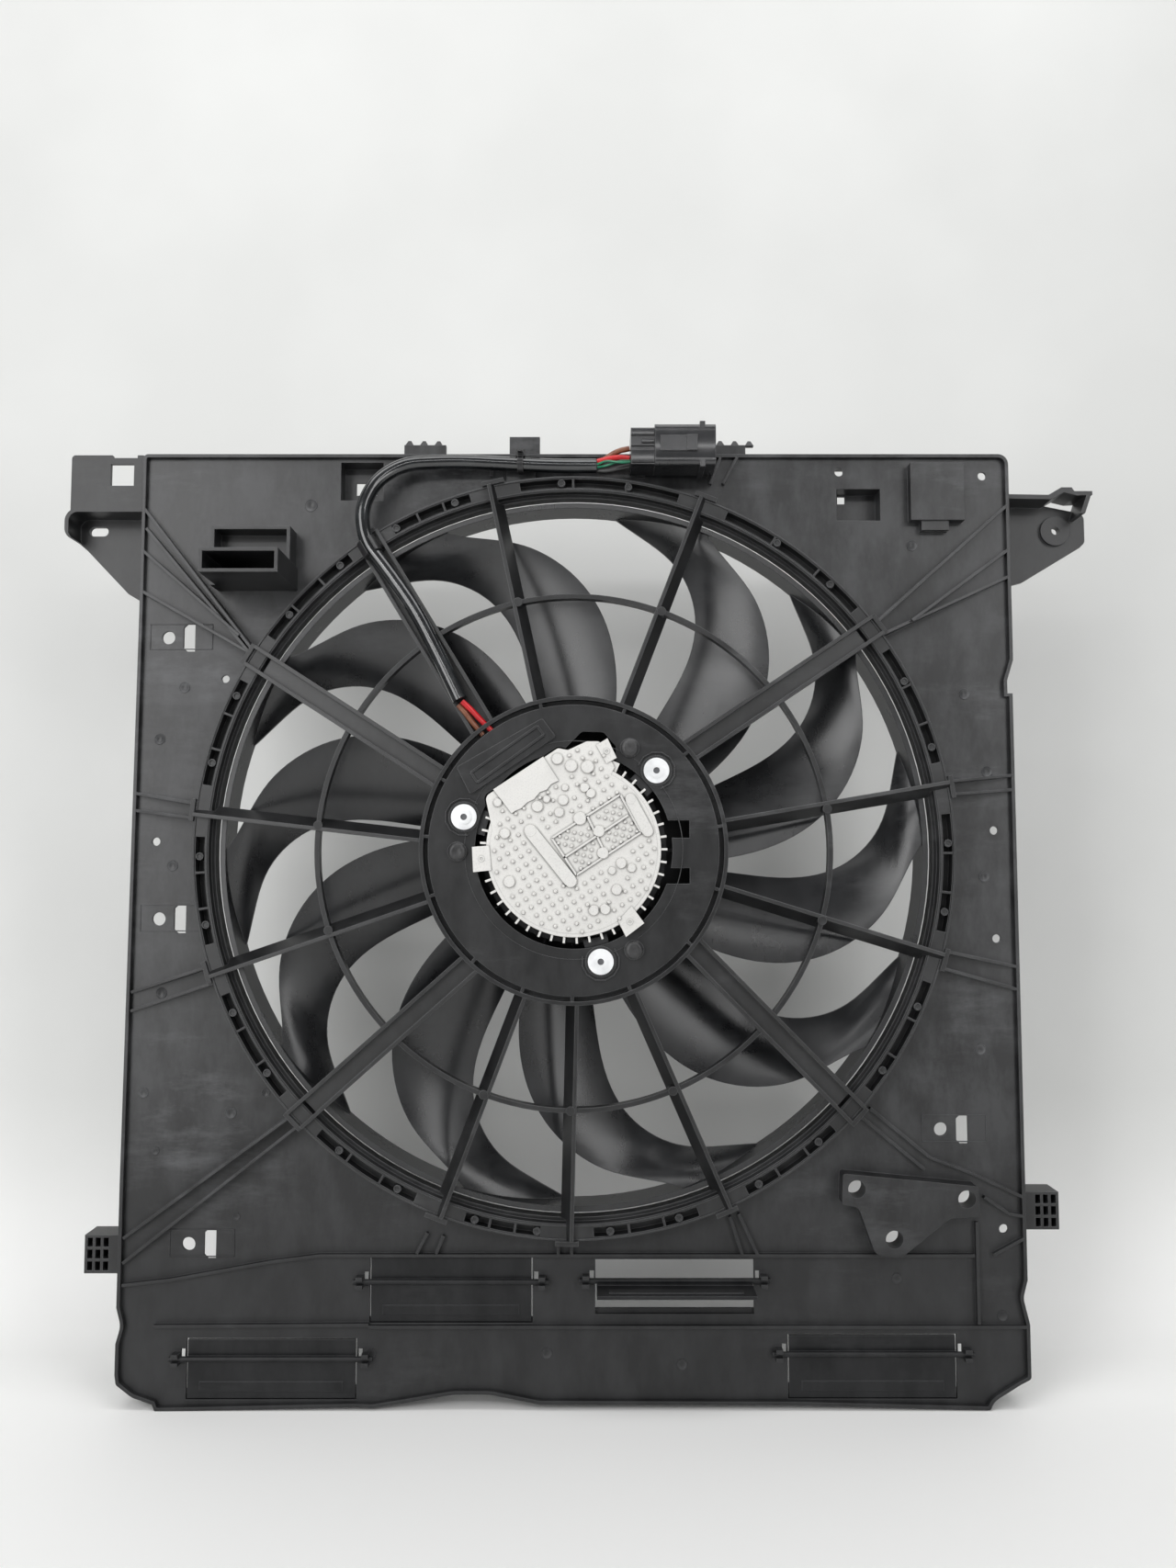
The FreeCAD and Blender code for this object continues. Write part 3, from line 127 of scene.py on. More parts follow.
def new_group(name, inputs, outputs):
    tree = bpy.data.node_groups.new(name, "ShaderNodeTree")
    for label, value in inputs:
        tree.interface.new_socket(label, in_out="INPUT", socket_type="NodeSocketFloat").default_value = value
    for label, kind in outputs:
        tree.interface.new_socket(label, in_out="OUTPUT", socket_type=kind)
    return tree, tree.nodes.new("NodeGroupInput").outputs, tree.nodes.new("NodeGroupOutput").inputs


def use_group(tree, group, **settings):
    node = tree.nodes.new("ShaderNodeGroup")
    node.node_tree = group
    for label, value in settings.items():
        node.inputs[label].default_value = value
    return node.outputs


def moulding_grain():
    """Fine spark-eroded grain and the slow mottle that glass fibres leave under the skin."""
    tree, come, go = new_group("moulding_grain", [("Grain", 2600.0), ("Depth", 0.06)],
                               [("Mottle", "NodeSocketFloat"), ("Height", "NodeSocketFloat")])
    where = object_place(tree)
    drawn = tree.nodes.new("ShaderNodeMapping")
    drawn.inputs["Scale"].default_value = (38.0, 30.0, 17.0)
    tree.links.new(where, drawn.inputs["Vector"])
    slow = noise(tree, drawn.outputs["Vector"], 1.0, 8.0, 0.68)
    tree.links.new(ramp(tree, slow, 0.40, 0.62), go["Mottle"])
    fine = noise(tree, where, come["Grain"], 2.0)
    tree.links.new(maths(tree, "MULTIPLY", fine, come["Depth"]), go["Height"])
    return tree


def rub_marks_and_edge_highlights():
    """Streaky pale marks from handling, and paler edges where the wall turns, a painted highlight mixed with
    wear.
    """
    tree, come, go = new_group("rub_marks_and_edge_highlights", [("Streaks", 0.5), ("Corners", 0.5)],
                               [("Mask", "NodeSocketFloat"), ("Normal", "NodeSocketVector")])
    where = object_place(tree)
    lay = tree.nodes.new("ShaderNodeMapping")
    lay.inputs["Rotation"].default_value = (0.0, 0.5, 0.0)
    lay.inputs["Scale"].default_value = (9.0, 20.0, 34.0)
    tree.links.new(where, lay.inputs["Vector"])
    streak = ramp(tree, noise(tree, lay.outputs["Vector"], 1.0, 8.0, 0.72), 0.50, 0.72)
    patch = ramp(tree, noise(tree, where, 6.5, 3.0), 0.42, 0.66)
    rubbed = maths(tree, "MULTIPLY", maths(tree, "MULTIPLY", streak, patch), come["Streaks"])
    rounded = soft_edges(tree, 0.0009)
    turn = tree.nodes.new("ShaderNodeVectorMath")
    turn.operation = "DOT_PRODUCT"
    tree.links.new(rounded, turn.inputs[0])
    tree.links.new(tree.nodes.new("ShaderNodeNewGeometry").outputs["True Normal"], turn.inputs[1])
    # Painted highlight: edges, found where the rounded normal leaves the true one, are painted paler; this
    # stands for wear there as well.
    edge_highlight_and_wear = ramp(tree, turn.outputs["Value"], 0.985, 0.80)
    tree.links.new(maths(tree, "MULTIPLY_ADD", edge_highlight_and_wear, come["Corners"], rubbed, clamp=True), go["Mask"])
    tree.links.new(rounded, go["Normal"])
    return tree


grain_group = moulding_grain()
wear_and_highlight_group = rub_marks_and_edge_highlights()


def moulding(name, dark, pale, rough, shine=0.5, streaks=0.5, corners=0.5, grain=2600.0, depth=0.05, coat=0.0,
             mottle=0.14, painted_shade_below=None):
    """Moulded plastic between two colours, with its grain, mottle, rubbed marks and edges painted paler, a
    painted highlight mixed with wear.

    Given a height for painted shade, it is painted less pale and is duller under that height.
    """
    made, tree, skin = new_material(name)
    skin.inputs["Specular IOR Level"].default_value = shine
    skin.inputs["Coat Weight"].default_value = coat
    skin.inputs["Coat Roughness"].default_value = 0.12
    surface = use_group(tree, grain_group, Grain=grain, Depth=depth)
    wear_and_highlights = use_group(tree, wear_and_highlight_group, Streaks=streaks, Corners=corners)
    paleness = maths(tree, "MULTIPLY_ADD", surface["Mottle"], mottle, wear_and_highlights["Mask"], clamp=True)
    roughness = spread(tree, paleness, rough, min(rough + 0.22, 0.95))
    if painted_shade_below is not None:
        # Painted shade: under the given height the colour is painted less pale, for the lower part that the
        # lamps light less; it is rougher there too.
        fade = 0.07
        height = tree.nodes.new("ShaderNodeSeparateXYZ")
        tree.links.new(object_place(tree), height.inputs[0])
        painted_shade_share = ramp(tree, height.outputs["Z"], painted_shade_below + fade, painted_shade_below - fade)
        roughness = maths(tree, "MULTIPLY_ADD", painted_shade_share, 0.22, roughness)
        kept_share = maths(tree, "MULTIPLY_ADD", painted_shade_share, -0.65, 1.0)
        paleness = maths(tree, "MULTIPLY", paleness, kept_share)
    tree.links.new(between(tree, paleness, dark, pale), skin.inputs["Base Color"])
    tree.links.new(roughness, skin.inputs["Roughness"])
    emboss(tree, skin, surface["Height"], 0.35, 0.0006, wear_and_highlights["Normal"])
    return made


def dress(names, material):
    """Give CAD nodes their finish."""
    for name in names:
        part[name].data.materials.clear()
        part[name].data.materials.append(material)


shroud_black = moulding("shroud_plastic", (0.0065, 0.0067, 0.0072), (0.150, 0.152, 0.156), 0.38, streaks=0.4,
                        corners=0.8, mottle=0.09)
# The panel is painted darker below 0.24 m under the axis, a painted shade.
panel_black = moulding("panel_plastic", (0.0070, 0.0072, 0.0078), (0.13, 0.132, 0.137), 0.34, streaks=0.85,
                       corners=0.7, mottle=0.26, painted_shade_below=-0.24)
dress(["shroud_panel", "shroud_rim"], panel_black)
dress(["upper_ear_left", "upper_ear_right", "lower_peg_left", "lower_peg_right", "box_holder"], shroud_black)

# Small forms of the panel: thin frames round the clip seats, ejector dimples, and teeth on the top edge.
# They are one moulding with the panel; frames and dimples start inside it, by the depth called sunk, and
# stand less than half a millimetre proud of it.
panel_front = -0.030
sunk = 0.0002
upright = Matrix.Rotation(math.radians(90), 4, "X")


def finish_piece(name, mesh, body, material, smooth=None):
    """Turn a bmesh into a piece of the object that rides on a body."""
    bmesh.ops.recalc_face_normals(mesh, faces=mesh.faces[:])
    data = bpy.data.meshes.new(name)
    mesh.to_mesh(data)
    mesh.free()
    data.materials.append(material)
    if smooth is not None:
        data.shade_smooth()
        data.set_sharp_from_angle(angle=math.radians(smooth))
    piece = bpy.data.objects.new(name, data)
    bpy.context.scene.collection.objects.link(piece)
    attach(piece, body)


def disc(mesh, x, z, y_back, y_front, radius, top_radius, sides=24):
    """Round boss towards the viewer, from y_back to y_front; its front face comes back in a list."""
    middle = Matrix.Translation((x, (y_back + y_front) / 2, z)) @ upright
    verts = bmesh.ops.create_cone(mesh, cap_ends=True, segments=sides, radius1=radius, radius2=top_radius,
                                  depth=abs(y_back - y_front), matrix=middle)["verts"]
    faces = {face for vert in verts for face in vert.link_faces}
    return [min(faces, key=lambda face: face.calc_center_median().y)]


def bar(mesh, start, finish, width, y_back, y_front):
    """Straight raised bar between two places given as (x, z) in millimetres."""
    a = Vector((start[0], 0, start[1])) / 1000
    b = Vector((finish[0], 0, finish[1])) / 1000
    along = b - a
    turn = math.atan2(along.z, along.x)
    size = Matrix.Diagonal((along.length, abs(y_front - y_back), width, 1))
    place = Matrix.Translation(((a.x + b.x) / 2, (y_back + y_front) / 2, (a.z + b.z) / 2))
    bmesh.ops.create_cube(mesh, size=1, matrix=place @ Matrix.Rotation(-turn, 4, "Y") @ size)


def bars_round(mesh, corners, width, y_back, y_front):
    """Raised bars along every side of an outline of (x, z) places in millimetres."""
    for k in range(len(corners)):
        bar(mesh, corners[k - 1], corners[k], width, y_back, y_front)


seat_places = ((-313.3, 163.8), (-315.3, -52.2), (-287.0, -293.0), (275.0, -209.0))
seat_left, seat_right, seat_low, seat_high = 14, 34, 9, 10.5
seat_frame_width = 0.0008
seat_frame_height = 0.0004
seat_frames = bmesh.new()
for x, z in seat_places:
    left, right, low, high = x - seat_left, x + seat_right, z - seat_low, z + seat_high
    bars_round(seat_frames, ((left, high), (right, high), (right, low), (left, low)), seat_frame_width,
               panel_front + sunk, panel_front - seat_frame_height)
finish_piece("clip_seat_frames", seat_frames, "shroud", panel_black)

dimple_places = [
    (-0.3236, -0.182, 4.2), (-0.2316, -0.182, 3.4), (-0.2576, -0.197, 4.6), (-0.3136, -0.225, 3.2),
    (-0.2516, -0.273, 3.0), (-0.205, 0.268, 5.2), (-0.300, 0.125, 4.4), (-0.318, 0.085, 4.4),
    (-0.306, -0.012, 4.4), (-0.312, -0.108, 4.4), (0.300, 0.120, 4.4), (0.316, 0.060, 4.4),
    (0.312, -0.020, 4.4), (0.306, -0.150, 4.4), (0.262, 0.236, 4.6), (-0.150, -0.372, 4.2),
    (0.080, -0.380, 4.2), (-0.020, -0.372, 4.2), (0.318, -0.345, 4.2), (0.240, -0.318, 4.2)
]
dimple_height = 0.00035
dimple_slope = 0.0002
dimple_rim = 0.0006
dimple_hollow = 0.0003
dimples = bmesh.new()
for x, z, size in dimple_places:
    radius = size / 1000
    cap = disc(dimples, x, z, panel_front + sunk, panel_front - dimple_height, radius,
               radius - dimple_slope, 32)
    bmesh.ops.inset_region(dimples, faces=cap, thickness=dimple_rim)
    bmesh.ops.translate(dimples, verts=cap[0].verts[:], vec=(0, dimple_hollow, 0))
finish_piece("panel_dimples", dimples, "shroud", panel_black, 30)

tooth_step = 0.0113
tooth_root = 0.0048
tooth_tip = 0.0016
tooth_height = 0.0042
rack_y = -0.0305
rack_z = 0.3168
racks = bmesh.new()
for first_tooth_x in (-0.1285, 0.1135):
    for k in range(3):
        place = Matrix.Translation((first_tooth_x + tooth_step * k, rack_y, rack_z - 0.0001 * k))
        tooth = bmesh.ops.create_cone(racks, cap_ends=True, segments=4, radius1=tooth_root, radius2=tooth_tip,
                                      depth=tooth_height,
                                      matrix=place @ Matrix.Rotation(math.radians(45), 4, "Z"))
        middle = Matrix.Translation((0, -rack_y, 0))
        bmesh.ops.scale(racks, vec=(1, 0.7, 1), verts=tooth["verts"], space=middle)
finish_piece("top_rack_teeth", racks, "shroud", panel_black)

# Barrel round the fan, with round posts in its channel and a thin lip along each wall of the channel.
# The same black nylon; each post has a shallow well in its top.
dress(["shroud_barrel"], shroud_black)


def around(radius, angle):
    """Place on a circle round the fan's axis, as x and z, at an angle in degrees."""
    turn = math.radians(angle)
    return radius * math.cos(turn), radius * math.sin(turn)


def annulus(mesh, x, z, inner, outer, y_back, y_front, sides=32):
    """Flat-topped ring round a place, turned from its four-sided section, from y_back to y_front."""
    section = ((inner, y_back), (inner, y_front), (outer, y_front), (outer, y_back))
    corners = [mesh.verts.new((x + radius, y, z)) for radius, y in section]
    sides_of_section = [mesh.edges.new((corners[k - 1], corners[k])) for k in range(4)]
    bmesh.ops.spin(mesh, geom=corners + sides_of_section, cent=(x, 0, z), axis=(0, -1, 0), angle=2 * math.pi,
                   steps=sides, use_merge=True)


post_circle = 0.2802
post_back = -0.0362
post_front = -0.0468
post_radius = 0.0032
post_top_radius = 0.0029
post_angles = (
    16, 27, 46, 56.5, 81.5, 92, 109, 119, 129.5, 140.5, 155.5, 166.5, 181, 191.5, 205.5, 216, 232,
    242.5, 255, 264.5, 275.5, 286, 299, 310, 324.5, 335.5, 350.5, 1
)
posts = bmesh.new()
for angle in post_angles:
    x, z = around(post_circle, angle)
    cap = disc(posts, x, z, post_back, post_front, post_radius, post_top_radius, 20)
    bmesh.ops.inset_region(posts, faces=cap, thickness=0.0008)
    bmesh.ops.inset_region(posts, faces=cap, thickness=0.0005, depth=-0.0009)
finish_piece("barrel_posts", posts, "shroud", shroud_black, 35)
lip_half = 0.0004
lip_back = -0.0457
lip_front = -0.0467
lips = bmesh.new()
for middle in (0.2848, 0.2752):
    annulus(lips, 0, 0, middle - lip_half, middle + lip_half, lip_back, lip_front, 240)
finish_piece("barrel_lips", lips, "shroud", shroud_black, 35)

# Struts and stiffening ring between the barrel and the motor.
# Ribbed bars of the same nylon; a small round boss marks where each single strut crosses the ring.
dress(["motor_struts", "stiffening_ring"], shroud_black)
ring_circle = 0.190
boss_back = -0.0488
boss_front = -0.0592
boss_radius = 0.0036
boss_top_radius = 0.0034
strut_bosses = bmesh.new()
for angle in (9.1, 69.8, 102.8, 174.6, 198.2, 249.8, 269.3, 292.4, 344.1):
    disc(strut_bosses, *around(ring_circle, angle), boss_back, boss_front, boss_radius, boss_top_radius)
finish_piece("strut_bosses", strut_bosses, "shroud", shroud_black, 35)

# Motor carrier: the round plate in the middle, with the pad that covers the lead exit.
# A four-sided frame is raised on the pad, and three hot-formed stakes have rough domed heads.
dress(["motor_carrier"], shroud_black)

pad_corners = ((-75.6, 56.2), (-26.8, 90.6), (-22.0, 84.0), (-70.5, 49.0))
pad_frame_width = 0.0020
pad_frame_back = -0.0670
pad_frame_front = -0.0688
pad_frame = bmesh.new()
bars_round(pad_frame, pad_corners, pad_frame_width, pad_frame_back, pad_frame_front)
bmesh.ops.bevel(pad_frame, geom=pad_frame.edges[:], offset=0.0002, affect="EDGES", segments=1, profile=0.5,
                material=-1)
finish_piece("carrier_pad_frame", pad_frame, "shroud", shroud_black)

stake_plastic = moulding("stake_plastic", (0.014, 0.014, 0.015), (0.19, 0.19, 0.19), 0.36, streaks=1.0,
                         corners=0.3, grain=420.0, depth=1.6)
stake_circle = 0.0854
stake_back = -0.0672
stake_front = -0.0690
stake_radius = 0.0069
stake_top_radius = 0.0056
stakes = bmesh.new()
for angle in (61.1, 181.1, 301.1):
    cap = disc(stakes, *around(stake_circle, angle), stake_back, stake_front, stake_radius,
               stake_top_radius, 32)
    bmesh.ops.inset_region(stakes, faces=cap, thickness=0.0022, depth=0.0006)
    bmesh.ops.inset_region(stakes, faces=cap, thickness=0.0014, depth=-0.0005)
finish_piece("stake_heads", stakes, "shroud", stake_plastic, 50)

# Fan: hub, ten swept blades and the outer ring.
# Smooth black nylon with more shine than the shroud, and soft marks where it was handled.
fan_black = moulding("fan_plastic", (0.0065, 0.0068, 0.0078), (0.06, 0.062, 0.066), 0.27, shine=0.65,
                     streaks=0.5, corners=0.4, grain=1000.0, depth=0.16)
dress(["fan_hub", "fan_blades", "fan_ring"], fan_black)

# Ram-air flaps: four loose leaves that hang on their pins.
# Thin nylon plates, a little duller than the panel; the raised strip along each one catches the light.
flap_black = moulding("flap_plastic", (0.0075, 0.0078, 0.0085), (0.07, 0.071, 0.074), 0.40, shine=0.28,
                      streaks=0.5, corners=0.8)
dress([name for name in part if name.startswith("ram_flap")], flap_black)

# Motor cover: die-cast aluminium, with pins on a slanted grid, raised pads and bars, and a smooth plate.
# The metal is left as cast: pale grey and slightly sparkling. Painted shade darkens it deep between the pins,
# where the ambient occlusion of the surface itself finds the corners.


def cast_metal(name, dark, pale, rough, metal):
    made, tree, skin = new_material(name)
    skin.inputs["Metallic"].default_value = metal
    where = object_place(tree)
    sparkle = noise(tree, where, 900.0, 4.0, 0.7)
    slow = noise(tree, where, 38.0, 4.0)
    paleness = maths(tree, "MULTIPLY", ramp(tree, sparkle, 0.2, 0.5), ramp(tree, slow, -0.2, 0.5))
    # Painted shade: the colour drops to under a third in the corners between the pins, by ambient occlusion
    # of the surface.
    occlusion = tree.nodes.new("ShaderNodeAmbientOcclusion")
    occlusion.samples = 6
    occlusion.inputs["Distance"].default_value = 0.0019
    unshaded_share = ramp(tree, occlusion.outputs["AO"], 0.35, 0.95)
    painted_shade_colour = tuple(channel * 0.30 for channel in dark)
    unshaded_colour = between(tree, paleness, dark, pale)
    tree.links.new(between(tree, unshaded_share, painted_shade_colour, unshaded_colour), skin.inputs["Base Color"])
    tree.links.new(spread(tree, paleness, rough + 0.14, rough), skin.inputs["Roughness"])
    emboss(tree, skin, sparkle, 0.35, 0.0003, soft_edges(tree, 0.00015))
    return made


cast_grey = cast_metal("cast_aluminium", (0.62, 0.61, 0.59), (0.82, 0.81, 0.78), 0.40, 0.2)
dress(["motor_cover"], cast_grey)
dress(["motor_base"], cast_metal("coated_casting", (0.010, 0.010, 0.011), (0.035, 0.035, 0.037), 0.5, 0.1))

cover_face = -0.071
cover_root = cover_face + sunk
cover_tip = -0.0731
plate = [
    (-58.7, 43.6), (-22.3, 67.7), (-11.0, 50.0), (-16.4, 47.5), (-19.7, 43.3), (-24.7, 41.6),
    (-28.9, 36.5), (-34.0, 34.0), (-38.1, 29.8), (-42.3, 28.1), (-45.2, 26.1)
]
round_pads = [
    (-1.8, 60.9, 4.7), (10.2, 60.1, 5.0), (8.0, 44.9, 3.7), (12.5, 40.7, 3.7), (-7.6, 35.7, 4.0),
    (-19.7, 36.5, 3.0), (-26.4, 31.2, 4.4), (-10.5, 26.8, 3.7), (-55.4, 34.0, 3.4), (-50.1, 11.4, 4.0),
    (-46.6, -23.7, 4.4), (4.6, 22.3, 5.0), (18.5, 13.0, 4.5), (21.4, -2.8, 4.5), (28.0, -15.7, 3.0),
    (34.7, -10.3, 4.0), (42.2, -13.7, 3.4), (31.4, -29.5, 4.0), (14.7, -44.4, 4.0), (23.0, -43.6, 4.0),
    (-11.9, 66.0, 4.4), (-6.3, 44.9, 2.7)
]
long_pads = [((-31.5, 13.4), (-2.0, -23.3), 9.6), ((41.5, 36.5), (54.0, 13.0), 8.6)]
frame_bars = [((-15.8, 8.0), (34.0, 39.9)), ((34.0, 39.9), (49.0, 12.2)), ((49.0, 12.2), (2.1, -18.7)),
              ((2.1, -18.7), (-15.8, 8.0)), ((-7.1, -6.2), (39.8, 24.8)), ((9.7, 24.4), (24.0, -4.8))]


def distance_to_run(x, z, start, finish):
    """Shortest distance from a place to a straight run, in millimetres."""
    run = Vector((finish[0] - start[0], finish[1] - start[1]))
    to = Vector((x - start[0], z - start[1]))
    share = min(max(to.dot(run) / run.length_squared, 0.0), 1.0)
    return (to - run * share).length


def inside_plate(x, z):
    """True over the smooth plate at the straight edge."""
    near_middle_line = distance_to_run(x, z, (-41.0, 47.5), (-25.0, 48.5)) < 17
    above_lower_side = z > 24 + (x + 45) * 0.68
    return near_middle_line and above_lower_side and x < -9


def inside_frame(x, z):
    """True inside the four windows in the middle, where the pins stand twice as close."""
    return all((b[0] - a[0]) * (z - a[1]) - (b[1] - a[1]) * (x - a[0]) < 0 for a, b in frame_bars[:4])


def on_cover(x, z):
    """True on the cover's own face, away from its edge."""
    past_straight_edge = x < -11.5 and z - 71.0 > (x + 11.5) * 0.67
    past_plate = x < -4 and z > 44 + (x + 60.0) * 0.60
    on_round_part = math.hypot(x, z) < 60.5
    on_top_part = z > 30 and -52 < x < 24 and math.hypot(x - 2, z) < 74
    return not past_straight_edge and not past_plate and (on_round_part or on_top_part)


def clear_of_relief(x, z):
    """True where a pin has room beside the pads and bars."""
    beside_round_pads = all(math.hypot(x - a, z - b) >= radius + 1.6 for a, b, radius in round_pads)
    beside_long_pads = all(distance_to_run(x, z, a, b) >= width / 2 + 1.2 for a, b, width in long_pads)
    beside_bars = all(distance_to_run(x, z, a, b) >= 1.9 for a, b in frame_bars)
    return beside_round_pads and beside_long_pads and beside_bars


def pull_out(mesh, outline, way):
    """Solid made by pulling a flat outline straight out."""
    base = mesh.faces.new([mesh.verts.new(place) for place in outline])
    moved = bmesh.ops.extrude_face_region(mesh, geom=[base])["geom"]
    bmesh.ops.translate(mesh, verts=[v for v in moved if isinstance(v, bmesh.types.BMVert)], vec=way)


half_step = 3.5
grid_start_u = 0.2
grid_start_v = 2.8
grid_slant = math.radians(33.5)
grid_reach = range(-28, 29)
pin_root_radius = 0.00150
pin_tip_radius = 0.00085
pins = bmesh.new()
for i in grid_reach:
    for j in grid_reach:
        if (i - j) % 2:
            continue
        u = grid_start_u + half_step * i
        v = grid_start_v + half_step * j
        x = u * math.cos(grid_slant) - v * math.sin(grid_slant)
        z = u * math.sin(grid_slant) + v * math.cos(grid_slant)
        if i % 2 and not inside_frame(x, z):
            continue
        if on_cover(x, z) and not inside_plate(x, z) and clear_of_relief(x, z):
            disc(pins, x / 1000, z / 1000, cover_root, cover_tip, pin_root_radius, pin_tip_radius, 12)
finish_piece("cover_pins", pins, "shroud", cast_grey, 50)

pad_slope = 0.0007
frame_bar_width = 0.0014
plate_height = 0.0014
cover_relief = bmesh.new()
for x, z, size in round_pads:
    disc(cover_relief, x / 1000, z / 1000, cover_root, cover_tip, size / 1000, size / 1000 - pad_slope, 28)
for start, finish, width in long_pads:
    half = width / 2000
    bar(cover_relief, start, finish, width / 1000 - 0.0004, cover_root, cover_tip + 0.0001)
    for x, z in (start, finish):
        disc(cover_relief, x / 1000, z / 1000, cover_root, cover_tip, half, half - pad_slope, 28)
for start, finish in frame_bars:
    bar(cover_relief, start, finish, frame_bar_width, cover_root, cover_tip + 0.0005)
pull_out(cover_relief, [(x / 1000, cover_root, z / 1000) for x, z in plate], (0, -plate_height, 0))
finish_piece("cover_relief", cover_relief, "shroud", cast_grey, 40)

# Rim of the cover: a shoulder round its face, thin radial fins, and three lugs with a small raised ring each.
# Cast in one with the cover; the fins stand free over the dark gap between the cover and the carrier.
rim_radius = 0.0640
rim_back = -0.0655
fin_root = 63.0
fin_tip = 68.4
fin_width = 0.0016
fin_back = -0.0604
fin_front = cover_face + 0.0006
cover_rim = bmesh.new()
disc(cover_rim, 0, 0, rim_back, cover_root, rim_radius, rim_radius - 0.0003, 96)
for angle in range(0, 360, 8):
    behind_straight_edge = 58 < angle < 150
    if not behind_straight_edge:
        bar(cover_rim, around(fin_root, angle), around(fin_tip, angle), fin_width, fin_back, fin_front)
finish_piece("cover_rim", cover_rim, "shroud", cast_grey, 40)

lug_outlines = (((-74.0, 1.7), (-61.4, 2.7), (-59.7, -15.3), (-73.0, -16.7)),
                ((32.2, -51.9), (42.2, -41.1), (51.3, -53.5), (38.0, -63.5)),
                ((16.4, 76.2), (24.8, 81.2), (31.5, 66.9), (24.0, 62.5)))
lug_back = -0.0690
lug_height = 0.0026
lug_ring_inner = 0.0012
lug_ring_outer = 0.0022
lug_ring_back = -0.0715
lug_ring_front = -0.0720
lugs = bmesh.new()
for corners in lug_outlines:
    pull_out(lugs, [(x / 1000, lug_back, z / 1000) for x, z in corners], (0, -lug_height, 0))
    middle_x = sum(x for x, _ in corners) / 4000
    middle_z = sum(z for _, z in corners) / 4000
    annulus(lugs, middle_x, middle_z, lug_ring_inner, lug_ring_outer, lug_ring_back, lug_ring_front, 20)
finish_piece("cover_lugs", lugs, "shroud", cast_grey, 40)

# Fasteners and bare metal: motor and fan screws, bushes, shaft, bearings, rotor can, stator and terminals.
# Each zinc-plated motor screw has a round socket, with a dark disc in its floor as painted shadow, and two
# thin rings on its flange. A thin wall of the carrier's own nylon bends round each screw, and one runs round
# the motor opening.


def bare_metal(name, colour, rough, grain=700.0):
    made, tree, skin = new_material(name)
    skin.inputs["Metallic"].default_value = 0.92
    where = object_place(tree)
    fine = noise(tree, where, grain, 3.0)
    slow = noise(tree, where, 55.0, 4.0)
    dim_colour = tuple(channel * 0.72 for channel in colour)
    tree.links.new(between(tree, ramp(tree, slow, 0.3, 0.62), dim_colour, colour), skin.inputs["Base Color"])
    tree.links.new(spread(tree, fine, rough, rough + 0.18), skin.inputs["Roughness"])
    emboss(tree, skin, fine, 0.12, 0.0002)
    return made


zinc = bare_metal("zinc_screws", (0.93, 0.94, 0.95), 0.42)
# Painted shadow: a dark disc laid in the floor of each screw socket.
painted_socket_shadow = bare_metal("socket_shadow", (0.17, 0.17, 0.18), 0.4)
dress(["motor_screws", "fan_screws"], zinc)
screw_circle = 0.084
socket_radius = 0.00235
socket_back = -0.0661
socket_front = -0.0664
flange_rings = ((0.0040, 0.0048, -0.0679, -0.0683), (0.0078, 0.0084, -0.0671, -0.0674))
wall_back = -0.0649
opening_wall_inner = 0.0797
opening_wall_outer = 0.0803
opening_wall_front = -0.0654
screw_wall_radius = 0.0138
screw_wall_width = 0.0009
screw_wall_front = -0.0664
screw_wall_step = 30
socket_shadow_discs = bmesh.new()
collars = bmesh.new()
screw_walls = bmesh.new()
annulus(screw_walls, 0, 0, opening_wall_inner, opening_wall_outer, wall_back, opening_wall_front, 160)
for screw_angle in (43.6, 163.6, 283.6):
    x, z = around(screw_circle, screw_angle)
    disc(socket_shadow_discs, x, z, socket_back, socket_front, socket_radius, socket_radius, 12)
    for flange_ring in flange_rings:
        annulus(collars, x, z, *flange_ring, 40)
    wall_angles = [screw_angle + turned for turned in range(-120, 121, screw_wall_step)]
    wall = [(Vector((x, z)) + Vector(around(screw_wall_radius, angle))) * 1000 for angle in wall_angles]
    for start, finish in zip(wall, wall[1:]):
        bar(screw_walls, start, finish, screw_wall_width, wall_back, screw_wall_front)
finish_piece("screw_socket_shadow_discs", socket_shadow_discs, "shroud", painted_socket_shadow)
finish_piece("screw_collars", collars, "shroud", zinc, 40)
finish_piece("carrier_walls", screw_walls, "shroud", shroud_black)
ground_steel = bare_metal("ground_steel", (0.56, 0.57, 0.58), 0.2)
dress(["screw_bushes", "rotor_can", "motor_shaft"], bare_metal("zinc_steel", (0.60, 0.61, 0.62), 0.32))
dress(["bearing_outer_rings", "bearing_inner_rings", "bearing_spacer"], ground_steel)
dress(["shaft_circlip", "board_capacitors"], bare_metal("dark_steel", (0.12, 0.12, 0.13), 0.35))
dress(["stator_core"], bare_metal("stacked_sheet", (0.30, 0.30, 0.31), 0.45, 1500.0))
dress(["rotor_magnets"], bare_metal("coated_magnet", (0.22, 0.22, 0.23), 0.4))
dress(["stator_coils"], bare_metal("enamelled_copper", (0.62, 0.25, 0.11), 0.3, 1900.0))
dress(["connector_terminals"], bare_metal("tinned_brass", (0.72, 0.62, 0.38), 0.25))

